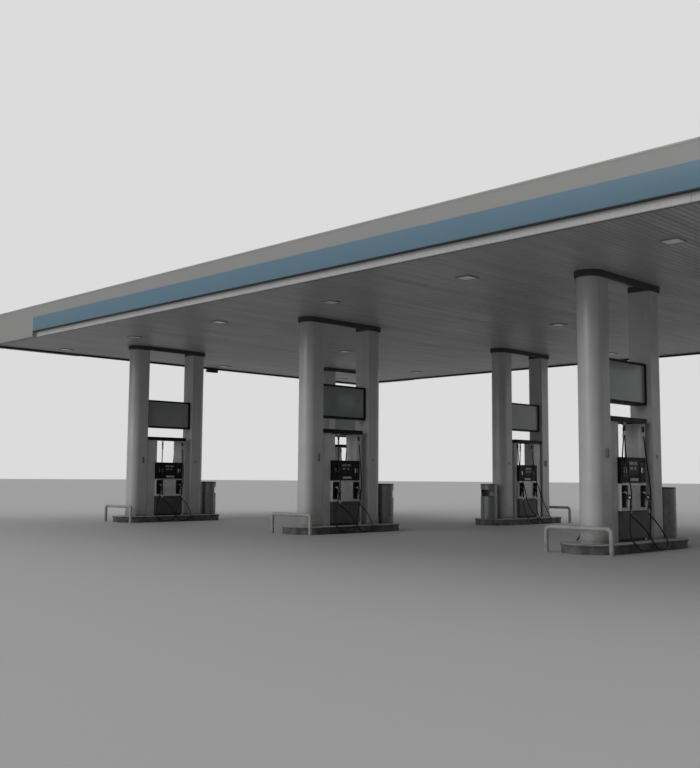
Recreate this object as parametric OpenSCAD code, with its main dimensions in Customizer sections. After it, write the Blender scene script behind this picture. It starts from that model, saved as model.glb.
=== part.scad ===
// Filling station canopy: a flat roof on eight refuelling islands, in millimetres.
// X runs along the long fascia, the front fascia faces -Y, Z is up, the ground is z = 0.
// Each island is drawn once in its own frame (x across the island, y towards the
// middle of the canopy) and placed four times in the front row and four in the back.

/* [Roof] */
// Length of the roof between the fascia planes
roof_l = 31200; // [30600:50:32400]
// Depth of the roof between the fascia planes
roof_d = 16725; // [16500:25:17400]
// Height of the bottom edge of the fascia above the ground
lip_z = 5505; // [5400:5:5800]
// Height of the fascia, bottom edge to coping
fascia_h = 912; // [880:2:1200]
// Height of the soffit above the bottom edge of the fascia
soffit_up = 60; // [40:5:90]
// How far the band, the fascia above it and the corner panels stand proud of the lower strip
band_out = 120; // [60:5:200]
// Length of the plain panels at the corners
corner_l = 3230; // [2000:10:3600]

/* [Rows] */
// Distance of the outer island columns from the middle of the roof
end_pitch = 12300; // [12200:10:12700]
// Place of the second island along the roof
second_x = -4190; // [-4400:10:-3900]
// Place of the third island along the roof
third_x = 4100; // [3900:10:4400]
// Middle of the front row of islands
front_y = -3778; // [-3900:2:-3700]
// Middle of the back row of islands
back_y = 4474; // [4400:2:4600]

/* [Islands] */
// Width of the kerb
kerb_w = 1240; // [1160:10:1320]
// Height of the kerb
kerb_h = 188; // [160:2:200]
// Distance between the centres of the kerb's round ends
kerb_run = 2612; // [2560:2:2700]
// How far the kerb is set towards the middle of the canopy
kerb_shift = 141; // [100:1:180]
// Radius of the hoop rail's tube
rail_r = 44; // [30:1:50]
// Height of the hoop rail
rail_h = 540; // [460:5:700]

/* [Columns] */
// Width of the column casing
col_w = 506; // [480:2:540]
// Half of the gap between the two columns of an island
col_in = 842; // [830:1:870]
// Length of the flat sides of the casing
col_flat = 294; // [260:2:320]
// Height of the cap under the soffit
cap_h = 130; // [110:5:220]
// How far the cap stands proud of the casing
cap_out = 45; // [30:1:60]

/* [Sign] */
// Height of the sign's lower edge
sign_z = 2985; // [2900:5:3200]
// Height of the sign
sign_h = 880; // [700:5:900]
// Thickness of the sign
sign_t = 300; // [260:10:420]

/* [Dispenser] */
// Height of the hood's top
hood_top = 2685; // [2670:5:2780]
// Thickness of the hood
hood_t = 100; // [80:5:110]
// Length of the cabinet, the nozzle panel and the display head
disp_l = 1010; // [990:5:1050]
// Height of the lower cabinet's top
cab_top = 805; // [780:5:820]
// Height of the display head's lower edge
head_z = 1345; // [1335:5:1365]
// Height of the display head
head_h = 530; // [460:5:560]
// Diameter of the fuel hoses
hose_d = 28; // [24:1:30]

/* [Hidden] */
$fn = 64;

hx = roof_l / 2;
hy = roof_d / 2;
top_z = lip_z + fascia_h;
soffit_z = lip_z + soffit_up;
soffit_t = 30;
wall = 60;
island_x = [-end_pitch, second_x, third_x, end_pitch];
strip_h = 160;
band_h = 410;
band_z0 = lip_z + strip_h;
band_z1 = band_z0 + band_h;
parapet = 221;
deck_z = top_z - parapet;
deck_t = 60;
coping_h = 30;
hood_z = hood_top - hood_t;

// Squared up outline of a column casing: a half round nose at -y and a flat face at -y_in
module casing_2d(grow = 0) {
  r = col_w / 2 + grow;
  translate([0, -col_in - col_flat]) circle(r = r);
  translate([-r, -col_in - col_flat]) square([2 * r, col_flat + grow]);
}

// Outline with two straight sides and two half round ends
module stadium_2d(r, run) {
  translate([0, -run / 2]) circle(r = r);
  translate([0, run / 2]) circle(r = r);
  translate([-r, -run / 2]) square([2 * r, run]);
}

// Rectangle with round corners, centred, made of true arcs
module round_rect(w, h, r) {
  square([w - 2 * r, h], center = true);
  square([w, h - 2 * r], center = true);
  for (sx = [-1, 1])
    for (sy = [-1, 1])
      translate([sx * (w / 2 - r), sy * (h / 2 - r)]) circle(r = r);
}

// Puts one island's piece on all eight islands, the back row turned to face outwards
module each_island() {
  for (x = island_x) {
    translate([x, front_y, 0]) children();
    translate([x, back_y, 0]) mirror([0, 1, 0]) children();
  }
}

// Repeats a piece on both lane sides of the island
module both_sides() {
  children();
  mirror([1, 0, 0]) children();
}

// Repeats a piece at both ends of the island
module both_ends() {
  children();
  mirror([0, 1, 0]) children();
}

// Kerb with a thin slab that overhangs its sides
module island_kerbs() {
  color("#8f8f8c")
    each_island()
      translate([0, kerb_shift, 0]) {
        linear_extrude(kerb_h - 38) stadium_2d(kerb_w / 2 - 18, kerb_run);
        translate([0, 0, kerb_h - 40]) linear_extrude(40) stadium_2d(kerb_w / 2, kerb_run);
      }
}

module casing(z0, z1) {
  translate([0, 0, z0]) linear_extrude(z1 - z0) casing_2d();
}

module outer_columns() {
  color("#9a9a98") each_island() casing(kerb_h, soffit_z);
}

module inner_columns() {
  color("#9a9a98") each_island() mirror([0, 1, 0]) casing(kerb_h, soffit_z);
}

module collar(z0, h, out) {
  translate([0, 0, z0])
    linear_extrude(h)
      difference() {
        casing_2d(out);
        casing_2d();
      }
}

module column_skirts() {
  color("#7d7d7b") each_island() both_ends() collar(kerb_h, 190, 10);
}

module column_caps() {
  color("#4b4b4b") each_island() both_ends() collar(soffit_z - cap_h, cap_h, cap_out);
}

header_h = 120;
header_w = 100;

// Slim box under the soffit that joins the two caps of an island, on one lane side only
module header_boxes() {
  color("#4b4b4b")
    each_island()
      translate([col_w / 2 + cap_out - header_w, -col_in + cap_out, soffit_z - header_h])
        cube([header_w, 2 * (col_in - cap_out), header_h]);
}

sign_gap = 20;
sign_len = 2 * (col_in - sign_gap);
sign_edge = 65;
sign_bar = 50;
sign_inset = 18;
sign_round = 35;
bracket_h = 80;

// Outline of the face that shows inside the sign's frame
module sign_face_2d() {
  round_rect(sign_len - 2 * sign_edge, sign_h - 2 * sign_bar, sign_round);
}

// Sign housing with a rounded frame on each face
module sign_cases() {
  color("#2a2c2d")
    each_island()
      difference() {
        translate([-sign_t / 2, -sign_len / 2, sign_z]) cube([sign_t, sign_len, sign_h]);
        both_sides()
          translate([sign_t / 2 - sign_inset, 0, sign_z + sign_h / 2])
            rotate([90, 0, 90]) linear_extrude(2 * sign_inset) sign_face_2d();
      }
}

module sign_panels() {
  color("#6b6f70")
    each_island()
      both_sides()
        translate([sign_t / 2 - sign_inset, 0, sign_z + sign_h / 2])
          rotate([90, 0, 90]) linear_extrude(8) sign_face_2d();
}

// Packers that hold the sign off the flat faces of the two columns
module sign_brackets() {
  color("#3a3a3a")
    each_island()
      both_ends()
        for (z = [sign_z + bracket_h, sign_z + sign_h - 2 * bracket_h])
          both_sides()
            translate([sign_t / 6, sign_len / 2, z]) cube([sign_t / 4, sign_gap, bracket_h]);
}

half_l = disp_l / 2;
foot_h = 62;
case_x = 270;
panel_x = 265;
head_x = 260;
pillar_x = 190;
pillar_gap = 42;
pillar_step = 60;
inner_step = 55;
hood_x = 252;
hood_end = half_l + 145;
hood_round = 50;

// Two pillars that carry the hood: a wide one for the pipes beside the outer column and a
// narrow one at the inner end, each with a step over the display head
module dispenser_pillars() {
  low = half_l - col_in + pillar_gap;
  color("#b2b2b0")
    each_island() {
      translate([-pillar_x, -col_in + pillar_gap, kerb_h])
        cube([2 * pillar_x, -low, hood_z - kerb_h]);
      translate([-pillar_x, -half_l - 1, head_z + head_h])
        cube([2 * pillar_x, pillar_step + 1, hood_z - head_z - head_h]);
      translate([-pillar_x, half_l, kerb_h])
        cube([2 * pillar_x, hood_end - half_l - 10, hood_z - kerb_h]);
      translate([-pillar_x, half_l - inner_step, head_z + head_h])
        cube([2 * pillar_x, inner_step + 1, hood_z - head_z - head_h]);
    }
}

// Thin hood, square against the outer column and round cornered at its free end
module dispenser_hoods() {
  color("#1d1e1f")
    each_island()
      translate([0, 0, hood_z])
        linear_extrude(hood_t) {
          translate([-hood_x, -col_in]) square([2 * hood_x, col_in + hood_end - hood_round]);
          translate([-hood_x + hood_round, -col_in])
            square([2 * (hood_x - hood_round), col_in + hood_end]);
          for (sx = [-1, 1])
            translate([sx * (hood_x - hood_round), hood_end - hood_round]) circle(r = hood_round);
        }
}

module recess_plinths() {
  color("#161616")
    each_island()
      translate([-case_x + 55, -half_l, kerb_h]) cube([2 * (case_x - 55), disp_l, foot_h]);
}

// Lower cabinet with a shallow door panel and a groove around it on each side
module lower_cabinets() {
  z0 = kerb_h + foot_h;
  h = cab_top - z0;
  color("#3a3b3c")
    each_island()
      difference() {
        translate([-case_x, -half_l, z0]) cube([2 * case_x, disp_l, h]);
        both_sides()
          translate([case_x - 8, 0, z0 + h / 2])
            rotate([90, 0, 90])
              linear_extrude(20)
                difference() {
                  round_rect(disp_l - 70, h - 60, 20);
                  round_rect(disp_l - 90, h - 80, 12);
                }
      }
}

boot_w = 235;
boot_z = cab_top + 60;
boot_h = head_z - cab_top - 90;
boot_y = 370;
boot_deep = 110;

module boot_hole(out = 0, deep = boot_deep) {
  translate([panel_x - deep, 0, boot_z + boot_h / 2])
    rotate([90, 0, 90])
      linear_extrude(deep + 20) round_rect(boot_w - 2 * out, boot_h - 2 * out, 28 - out / 2);
}

// Panel between cabinet and display head, with two pockets for the nozzles on each side
module holster_panels() {
  color("#b2b2b0")
    each_island()
      difference() {
        translate([-panel_x, -half_l, cab_top]) cube([2 * panel_x, disp_l, head_z - cab_top]);
        both_sides()
          for (y = [-boot_y, boot_y]) translate([0, y, 0]) boot_hole();
      }
}

// Black liners of the nozzle pockets, open towards the lane, each with a rest for the spout
module nozzle_boots() {
  color("#141414") {
    each_island()
      both_sides()
        for (y = [-boot_y, boot_y])
          translate([0, y, 0])
            difference() {
              translate([panel_x - boot_deep, 0, boot_z + boot_h / 2])
                rotate([90, 0, 90])
                  linear_extrude(boot_deep + 4) round_rect(boot_w, boot_h, 28);
              translate([8, 0, 0]) boot_hole(8);
            }
    each_nozzle()
      at_bend_end() translate([0, 0, tip_l]) cylinder(r = spout_r + 7, h = rest_l);
  }
}

module display_heads() {
  color("#202122")
    each_island()
      translate([0, 0, head_z + head_h / 2])
        rotate([90, 0, 90])
          translate([0, 0, -head_x]) linear_extrude(2 * head_x) round_rect(disp_l, head_h, 18);
}

module display_windows() {
  color("#3c4346")
    each_island()
      both_sides()
        translate([head_x, 0, head_z + head_h / 2])
          rotate([90, 0, 90])
            linear_extrude(6) {
              translate([-disp_l / 110, head_h / 8]) round_rect(disp_l * 4 / 11, head_h / 2, 14);
              for (e = [-1, 1])
                translate([e * disp_l * 4 / 11, head_h / 50])
                  round_rect(disp_l * 3 / 20, head_h * 13 / 20, 14);
            }
}

// Where the hoses leave the hood and where the nozzles hang, across and along the island
outlet_x = 222;
outlet_y = [-260, 500];
outlet_drop = 60;
nozzle_x = 365;
nozzle_y = [-320, 420];
nozzle_z = 795;

// Swivels under the hood, one above each hose
module hose_outlets() {
  color("#555555")
    each_island()
      both_sides()
        for (y = outlet_y)
          translate([outlet_x, y, hood_z - outlet_drop]) {
            cylinder(r = 20, h = outlet_drop);
            translate([0, 0, 38]) cylinder(r = 27, h = outlet_drop - 38);
          }
}

// Routes of the two hoses of a lane side: out of the swivel, down past the head and the
// cabinet, over the kerb's edge in a loop close to the ground, and up to the nozzle
hose_routes = [
  [[222, -260, 2525], [222, -260, 2460], [248, -285, 2120], [298, -320, 1700],
   [350, -318, 1380], [412, -370, 1130], [448, -490, 810], [512, -632, 480],
   [598, -704, 248], [660, -690, 175], [708, -590, 70], [714, -370, 44],
   [704, -130, 74], [668, -20, 200], [560, -50, 390], [430, -215, 610],
   [368, -310, 712], [365, -320, 795]],
  [[222, 500, 2525], [222, 500, 2460], [250, 505, 2120], [298, 500, 1700],
   [362, 462, 1380], [412, 408, 1130], [436, 344, 800], [492, 210, 490],
   [584, 58, 258], [655, 25, 178], [708, 110, 66], [718, 310, 44],
   [704, 480, 84], [655, 575, 220], [560, 590, 380], [440, 520, 590],
   [369, 432, 712], [365, 420, 795]]
];

function unit(v) = v / norm(v);
function route_dir(p, i) =
  i == 0 || i == len(p) - 1 ? [0, 0, i == 0 ? -1 : 1] : unit(p[i + 1] - p[i - 1]);
function ring_point(p, i, k) =
  let (t = route_dir(p, i), a = unit(cross(t, [1, 0, 0])), b = cross(t, a), w = k * 45 + 22.5)
    p[i] + hose_d / 2 * (a * cos(w) + b * sin(w));

module hose(p) {
  n = len(p);
  pts = [for (i = [0 : n - 1]) for (k = [0 : 7]) ring_point(p, i, k)];
  sides = [for (i = [0 : n - 2]) for (k = [0 : 7])
    [i * 8 + k, i * 8 + (k + 1) % 8, (i + 1) * 8 + (k + 1) % 8, (i + 1) * 8 + k]];
  ends = [[for (k = [7 : -1 : 0]) k], [for (k = [0 : 7]) (n - 1) * 8 + k]];
  polyhedron(points = pts, faces = concat(sides, ends), convexity = 6);
}

module fuel_hoses() {
  color("#111111")
    each_island()
      both_sides()
        for (p = hose_routes) hose(p);
}

// Nozzle sizes: the body stands upright on the hose's end and leans towards the pocket,
// the spout leaves it upwards and then bends into the pocket
nozzle_turn = -75;
body_t = 40;
neck_at = [-26, 300];
neck_l = 34;
spout_r = 12;
spout_up = 47;
spout_l = 60;
spout_bend = 67;
bend_r = 40;
tip_l = 50;
rest_l = 29;

// Puts a nozzle's piece beside each pocket, above the end of its hose
module each_nozzle() {
  each_island()
    both_sides()
      for (y = nozzle_y) translate([nozzle_x, y, nozzle_z]) rotate([0, 0, nozzle_turn]) children();
}

// Goes to the neck and turns so that z runs along the first part of the spout
module at_neck() {
  translate([0, neck_at[0], neck_at[1]]) rotate([90 - spout_up, 0, 0]) children();
}

// Goes to the end of the round bend and turns so that z runs into the pocket
module at_bend_end() {
  at_neck()
    translate([0, -bend_r, neck_l + spout_l])
      rotate([spout_bend, 0, 0]) translate([0, bend_r, 0]) children();
}

// Body of the nozzle in side view: grip, valve housing and tail
module nozzle_2d() {
  polygon([[-17, 40], [17, 40], [20, 110], [12, 190], [22, 240], [22, 300], [2, 330],
    [-30, 336], [-52, 312], [-54, 262], [-44, 236], [-26, 214], [-24, 120]]);
}

module nozzle_bodies() {
  color("#1a1a1a")
    each_nozzle() {
      cylinder(r = 17, h = 44);
      rotate([90, 0, 90]) translate([0, 0, -body_t / 2]) linear_extrude(body_t) nozzle_2d();
      at_neck() cylinder(r = 22, h = neck_l);
    }
}

// Bent spout: a straight tube out of the neck, a round bend and a tip in the pocket
module nozzle_spouts() {
  color("#8c8e90")
    each_nozzle() {
      at_neck() translate([0, 0, neck_l]) cylinder(r = spout_r, h = spout_l);
      at_neck()
        translate([0, -bend_r, neck_l + spout_l])
          rotate([90, 0, 90])
            rotate_extrude(angle = spout_bend) translate([bend_r, 0]) circle(r = spout_r);
      at_bend_end() cylinder(r = spout_r, h = tip_l);
    }
}

// Guard loop in front of the lever, its two feet on the body's flat side
module nozzle_levers() {
  color("#a8abad")
    each_nozzle()
      translate([-11, 0, 0])
        rotate([90, 0, 90])
          linear_extrude(22)
            difference() {
              polygon([[-24, 62], [-66, 84], [-80, 120], [-78, 214], [-54, 250], [-54, 262],
                [-44, 236], [-26, 214], [-24, 120]]);
              polygon([[-20, 74], [-58, 92], [-70, 122], [-68, 206], [-50, 234], [-40, 224],
                [-33, 214], [-31, 120]]);
            }
}

rail_half = 715;
rail_bend = 80;
rail_y = -1690;

rail_z = rail_h - rail_r - rail_bend;

// Posts of the hoop rail in front of the kerb's outer end
module guard_posts() {
  color("#a5a5a3")
    each_island()
      both_sides() translate([rail_half, rail_y, 0]) cylinder(r = rail_r, h = rail_z);
}

// Top bar of the hoop rail with its two bends
module guard_bars() {
  color("#a5a5a3")
    each_island()
      translate([0, rail_y, 0]) {
        both_sides()
          translate([rail_half - rail_bend, 0, rail_z])
            rotate([90, 0, 0])
              rotate_extrude(angle = 90) translate([rail_bend, 0]) circle(r = rail_r);
        translate([-rail_half + rail_bend, 0, rail_z + rail_bend])
          rotate([0, 90, 0]) cylinder(r = rail_r, h = 2 * (rail_half - rail_bend));
      }
}

bin_r = 258;
bin_y = 1740;
bin_h = 1050;
mouth_z = 700;
mouth_h = 200;
mouth_y = 70;

// Round bin at the inner end of the island, up to the sill of its mouth
module bin_bodies() {
  color("#5b5d5e")
    each_island() translate([0, bin_y, kerb_h]) cylinder(r = bin_r, h = mouth_z);
}

// Upper part of the bin, cut away at the mouth that faces the end of the island
module bin_hoods() {
  color("#5b5d5e")
    each_island()
      translate([0, bin_y, kerb_h + mouth_z]) {
        linear_extrude(mouth_h)
          difference() {
            circle(r = bin_r);
            translate([-2 * bin_r, mouth_y]) square([4 * bin_r, 2 * bin_r]);
          }
        translate([0, 0, mouth_h]) cylinder(r = bin_r, h = bin_h - mouth_z - mouth_h);
      }
}

module bin_lids() {
  color("#3b3c3d")
    each_island()
      translate([0, bin_y, kerb_h + bin_h]) {
        cylinder(r = bin_r + 6, h = 22);
        translate([0, 0, 22]) cylinder(r1 = bin_r + 6, r2 = bin_r - 10, h = 12);
      }
}

call_in = 124;
call_z = 1840;

// Call box on the outer column and switch on the inner column, on both lane sides
module device_boxes() {
  color("#2b2c2d")
    each_island()
      both_sides() {
        translate([col_w / 2, -col_in - call_in - 74, call_z]) cube([28, 74, 200]);
        translate([col_w / 2, col_in + call_in + 20, call_z + 32]) cube([16, 34, 72]);
      }
}

lamp_s = 350;
lamp_side = 910;
lamp_front = 2212;
lamp_back = 1800;
lamp_end = 1760;
lamp_off = [2243, 2095, 2113, 2412];
lamp_frame = 18;
lamp_deep = 90;
lamp_drop = 22;
lamp_x0 = hx - lamp_side;
lamp_rows = [-hy + lamp_front, (front_y + back_y) / 2, hy - lamp_back];
lamp_x = [-lamp_x0, -end_pitch + lamp_end, second_x - lamp_off[0], second_x + lamp_off[1],
  third_x - lamp_off[2], third_x + lamp_off[3], end_pitch - lamp_end, lamp_x0];
lamp_mid_x = [-lamp_x0, (second_x - end_pitch) / 2, (second_x + third_x) / 2,
  (third_x + end_pitch) / 2, lamp_x0];

module each_lamp() {
  for (x = lamp_x) {
    translate([x, lamp_rows[0], soffit_z]) children();
    translate([x, lamp_rows[2], soffit_z]) children();
  }
  for (x = lamp_mid_x) translate([x, lamp_rows[1], soffit_z]) children();
}

module soffit_panel() {
  color("#8b8d8e")
    difference() {
      translate([-hx + wall + 20, -hy + wall + 20, soffit_z])
        cube([roof_l - 2 * wall - 40, roof_d - 2 * wall - 40, soffit_t]);
      each_lamp()
        translate([-lamp_s / 2, -lamp_s / 2, -soffit_t / 2]) cube([lamp_s, lamp_s, 2 * soffit_t]);
    }
}

// Lamp housings let into the soffit, each a square frame with a closed top
module lamp_bodies() {
  w = lamp_s - 2 * lamp_frame;
  color("#6f7172")
    each_lamp()
      difference() {
        translate([-lamp_s / 2, -lamp_s / 2, -lamp_drop]) cube([lamp_s, lamp_s, lamp_deep]);
        translate([-w / 2, -w / 2, -lamp_drop - 5]) cube([w, w, lamp_deep - 5]);
      }
}

module lamp_lenses() {
  w = lamp_s - 2 * lamp_frame;
  color("#c9cbcb") each_lamp() translate([-w / 2, -w / 2, 5 - lamp_drop]) cube([w, w, 10]);
}

seam = 4;

// Four boards around the roof, outer faces out beyond the fascia plane, t thick
module roof_boards(out, t, z0, z1) {
  lx = roof_l + 2 * out;
  ly = roof_d + 2 * out - 2 * t - 2 * seam;
  both_ends() translate([-lx / 2, -hy - out, z0]) cube([lx, t, z1 - z0]);
  both_sides() translate([hx + out - t, -ly / 2, z0]) cube([t, ly, z1 - z0]);
}

module edge_trims() {
  color("#2e2e2e") roof_boards(-wall, 20, lip_z, soffit_z + soffit_t);
}

module lower_strips() {
  color("#b9bab9") roof_boards(0, wall, lip_z, band_z0);
}

// One proud board on each face between the corner panels
module face_boards(z0, z1) {
  lx = roof_l - 2 * corner_l;
  ly = roof_d - 2 * corner_l;
  both_ends() translate([-lx / 2, -hy - band_out, z0]) cube([lx, band_out, z1 - z0]);
  both_sides() translate([hx, -ly / 2, z0]) cube([band_out, ly, z1 - z0]);
}

// Boards behind the band, and above it boards flush with the band and the corner panels
module upper_fascia() {
  color("#a4a6a6") {
    roof_boards(0, wall, band_z0, top_z - coping_h);
    face_boards(band_z1, top_z - coping_h);
  }
}

// Cover strip over the whole thickness of the fascia
module copings() {
  color("#9a9c9c") roof_boards(band_out + 6, band_out + wall + 12, top_z - coping_h, top_z);
}

module blue_bands() {
  color("#4f6f8c") face_boards(band_z0, band_z1);
}

// Plain panels of full height that wrap the four corners
module corner_panels() {
  color("#a4a6a6")
    both_sides()
      both_ends()
        translate([0, 0, lip_z])
          linear_extrude(fascia_h - coping_h)
            difference() {
              translate([hx - corner_l, hy - corner_l])
                square([corner_l + band_out, corner_l + band_out]);
              translate([hx - corner_l - 1, hy - corner_l - 1]) square([corner_l + 1, corner_l + 1]);
            }
}

module roof_deck() {
  color("#808385")
    translate([-hx + wall, -hy + wall, deck_z])
      cube([roof_l - 2 * wall, roof_d - 2 * wall, deck_t]);
}

// Outline of a rolled beam, web upright
module beam_2d(w, h, tw, tf) {
  translate([-tw / 2, 0]) square([tw, h]);
  translate([-w / 2, 0]) square([w, tf]);
  translate([-w / 2, h - tf]) square([w, tf]);
}

beam_h = deck_z - soffit_z - soffit_t;

module cross_girders() {
  color("#6d7072")
    for (x = island_x)
      translate([x, hy - wall, soffit_z + soffit_t])
        rotate([90, 0, 0]) linear_extrude(roof_d - 2 * wall) beam_2d(260, beam_h, 14, 22);
}

module long_girders() {
  stops = concat([-hx + wall], [for (x = island_x) each [x - 130, x + 130]], [hx - wall]);
  color("#6d7072")
    for (y = [front_y, back_y])
      for (i = [0 : 2 : len(stops) - 1])
        translate([stops[i], y, soffit_z + soffit_t])
          rotate([90, 0, 90]) linear_extrude(stops[i + 1] - stops[i]) beam_2d(220, beam_h, 12, 18);
}

box_h = 110;
box_l = 500;

module edge_box() {
  color("#222222") translate([-hx + 5, 180, lip_z - box_h]) cube([box_h, box_l, box_h]);
}

island_kerbs();
outer_columns();
inner_columns();
column_skirts();
column_caps();
header_boxes();
sign_cases();
sign_panels();
sign_brackets();
dispenser_pillars();
dispenser_hoods();
recess_plinths();
lower_cabinets();
holster_panels();
nozzle_boots();
display_heads();
display_windows();
hose_outlets();
fuel_hoses();
nozzle_bodies();
nozzle_spouts();
nozzle_levers();
guard_posts();
guard_bars();
bin_bodies();
bin_hoods();
bin_lids();
device_boxes();
soffit_panel();
lamp_bodies();
lamp_lenses();
edge_trims();
upper_fascia();
blue_bands();
corner_panels();
lower_strips();
copings();
roof_deck();
cross_girders();
long_girders();
edge_box();
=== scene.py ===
import math

import bmesh
import bpy
from bpy.props import FloatProperty, FloatVectorProperty, IntProperty, PointerProperty
from mathutils import Matrix, Vector


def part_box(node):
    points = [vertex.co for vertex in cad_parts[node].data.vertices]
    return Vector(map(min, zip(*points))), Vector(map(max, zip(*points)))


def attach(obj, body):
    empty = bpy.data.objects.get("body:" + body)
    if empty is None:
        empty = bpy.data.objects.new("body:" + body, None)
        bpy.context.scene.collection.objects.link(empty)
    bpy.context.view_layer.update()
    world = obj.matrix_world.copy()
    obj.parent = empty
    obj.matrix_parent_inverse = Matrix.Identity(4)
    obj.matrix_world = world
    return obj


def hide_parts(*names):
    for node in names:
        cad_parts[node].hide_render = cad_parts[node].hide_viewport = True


bl_info = {
    "name": "Filling station canopy",
    "version": (1, 0, 0),
    "blender": (4, 5, 0),
    "location": "3D View > Sidebar > Canopy",
    "description": "Builds the canopy, its islands and its dispensers over the packed frame",
    "category": "Object",
}

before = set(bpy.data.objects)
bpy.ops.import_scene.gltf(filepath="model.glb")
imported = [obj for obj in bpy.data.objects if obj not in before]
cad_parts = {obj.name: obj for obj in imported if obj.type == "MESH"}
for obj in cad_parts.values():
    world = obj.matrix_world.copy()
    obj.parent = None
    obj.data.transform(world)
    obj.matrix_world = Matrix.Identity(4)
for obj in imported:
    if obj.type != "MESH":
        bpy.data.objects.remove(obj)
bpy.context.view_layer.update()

# Heights and widths read from the frame
KERB_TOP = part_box("island_kerbs")[1].z
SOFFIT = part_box("soffit_panel")[0].z
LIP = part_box("lower_strips")[0].z
BAND_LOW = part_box("blue_bands")[0].z
BAND_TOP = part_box("blue_bands")[1].z
FASCIA_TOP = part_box("upper_fascia")[1].z
ROOF_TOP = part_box("copings")[1].z
DECK_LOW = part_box("roof_deck")[0].z
DECK_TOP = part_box("roof_deck")[1].z
HALF_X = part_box("lower_strips")[1].x
HALF_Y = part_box("lower_strips")[1].y
BAND_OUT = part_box("blue_bands")[1].x - HALF_X
CAP_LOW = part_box("column_caps")[0].z
HEADER_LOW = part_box("header_boxes")[0].z
SIGN_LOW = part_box("sign_cases")[0].z
SIGN_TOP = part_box("sign_cases")[1].z
HOOD_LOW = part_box("dispenser_hoods")[0].z
HOOD_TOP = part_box("dispenser_hoods")[1].z
CABINET_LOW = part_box("lower_cabinets")[0].z
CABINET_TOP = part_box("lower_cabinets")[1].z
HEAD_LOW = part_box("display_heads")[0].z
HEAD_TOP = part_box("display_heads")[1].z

# Places of the islands and the length of the roof's corner panels, as in the part
ISLAND_X = (-12.3, -4.19, 4.1, 12.3)
FRONT_Y = -3.778
BACK_Y = 4.474
CORNER_L = 3.23

# Sizes in the island's frame, as in the part
COLUMN_R = 0.253
COLUMN_IN = 0.842
COLUMN_FLAT = 0.294
KERB_R = 0.62
KERB_RUN = 2.612
KERB_SHIFT = 0.141
SLAB_H = 0.040
CAP_OUT = 0.045
SIGN_HALF_X = 0.15
SIGN_HALF_Y = 0.822
SIGN_EDGE = 0.065
SIGN_BAR = 0.05
DISPENSER_HALF = 0.505
PILLAR_X = 0.19
OUTER_PILLAR_Y = (-0.8, -0.445)
INNER_PILLAR_Y = (0.64, 0.45)
HOOD_X = 0.252
HOOD_END = 0.65
CASE_X = 0.27
PANEL_X = 0.265
HEAD_X = 0.26
BOOT_W = 0.235
BOOT_LOW = 0.865
BOOT_H = 0.45
BOOT_Y = 0.37
BOOT_DEEP = 0.11
OUTLET_X = 0.222
OUTLET_Y = (-0.26, 0.5)
NOZZLE_AT = ((0.365, -0.32, 0.795), (0.365, 0.42, 0.795))
NOZZLE_TURN = -75
NECK_AT = (0.0, -0.026, 0.3)
NECK_L = 0.034
SPOUT_R = 0.012
SPOUT_UP = 47
SPOUT_L = 0.06
SPOUT_BEND = 67
SPOUT_BEND_R = 0.04
TIP_L = 0.05
REST_L = 0.029
RAIL_R = 0.044
RAIL_HALF = 0.715
RAIL_Y = -1.69
RAIL_H = 0.54
RAIL_BEND = 0.08
BIN_R = 0.258
BIN_Y = 1.74
BIN_H = 1.05
MOUTH_Z = 0.7
MOUTH_H = 0.2
MOUTH_Y = 0.07

# Finer sizes that only this script has: joints of the kerb slabs and of the pale strip, the
# foot ring and skirt, the cap's step, the rivets of a casing's seam and the sign's bulge
SLABS = 4
SLAB_GAP = 0.006
STRIP_JOINT_X = 7.92
FOOT_RING_H = 0.060
SKIRT_TOP = 0.188
CAP_STEP = 0.020
RIVETS = 9
RIVET_FIRST = 0.45
RIVET_STEP = 0.58
SIGN_BULGE = 0.007

# Lamps of the soffit, in the roof's frame
LAMP_S = 0.35
LAMP_FRAME = 0.018
LAMP_DROP = 0.022
LAMP_ROWS = (-6.1505, 0.348, 6.5625)
LAMP_X = (-14.69, -10.54, -6.433, -2.095, 1.987, 6.512, 10.54, 14.69)
LAMP_MID_X = (-14.69, -8.245, -0.045, 8.2, 14.69)

# Routes of the two hoses of a lane side, from the swivel under the hood to the nozzle
HOSE_D = 0.028
HOSE_ROUTES = (
    (
        (0.222, -0.260, 2.525), (0.222, -0.260, 2.460), (0.248, -0.285, 2.120),
        (0.298, -0.320, 1.700), (0.350, -0.318, 1.380), (0.412, -0.370, 1.130),
        (0.448, -0.490, 0.810), (0.512, -0.632, 0.480), (0.598, -0.704, 0.248),
        (0.660, -0.690, 0.175), (0.708, -0.590, 0.070), (0.714, -0.370, 0.044),
        (0.704, -0.130, 0.074), (0.668, -0.020, 0.200), (0.560, -0.050, 0.390),
        (0.430, -0.215, 0.610), (0.368, -0.310, 0.712), (0.365, -0.320, 0.795),
    ),
    (
        (0.222, 0.500, 2.525), (0.222, 0.500, 2.460), (0.250, 0.505, 2.120),
        (0.298, 0.500, 1.700), (0.362, 0.462, 1.380), (0.412, 0.408, 1.130),
        (0.436, 0.344, 0.800), (0.492, 0.210, 0.490), (0.584, 0.052, 0.258),
        (0.655, 0.033, 0.178), (0.708, 0.106, 0.066), (0.718, 0.310, 0.044),
        (0.704, 0.480, 0.084), (0.655, 0.575, 0.220), (0.560, 0.590, 0.380),
        (0.440, 0.520, 0.590), (0.369, 0.432, 0.712), (0.365, 0.420, 0.795),
    ),
)

# Height up to which rain splashes dirt on what stands on the ground
SPLASH_H = 0.75

# Camera, from the photograph's two vanishing directions: place in metres, angles in degrees
# and lens in millimetres
CAMERA_AT = (14.2906, -21.7619, 1.4156)
CAMERA_TURN = 45.1944
CAMERA_PITCH = 5.5497
CAMERA_ROLL = 0.4107
CAMERA_LENS = 45.41
CAMERA_SENSOR = 36.0

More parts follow.
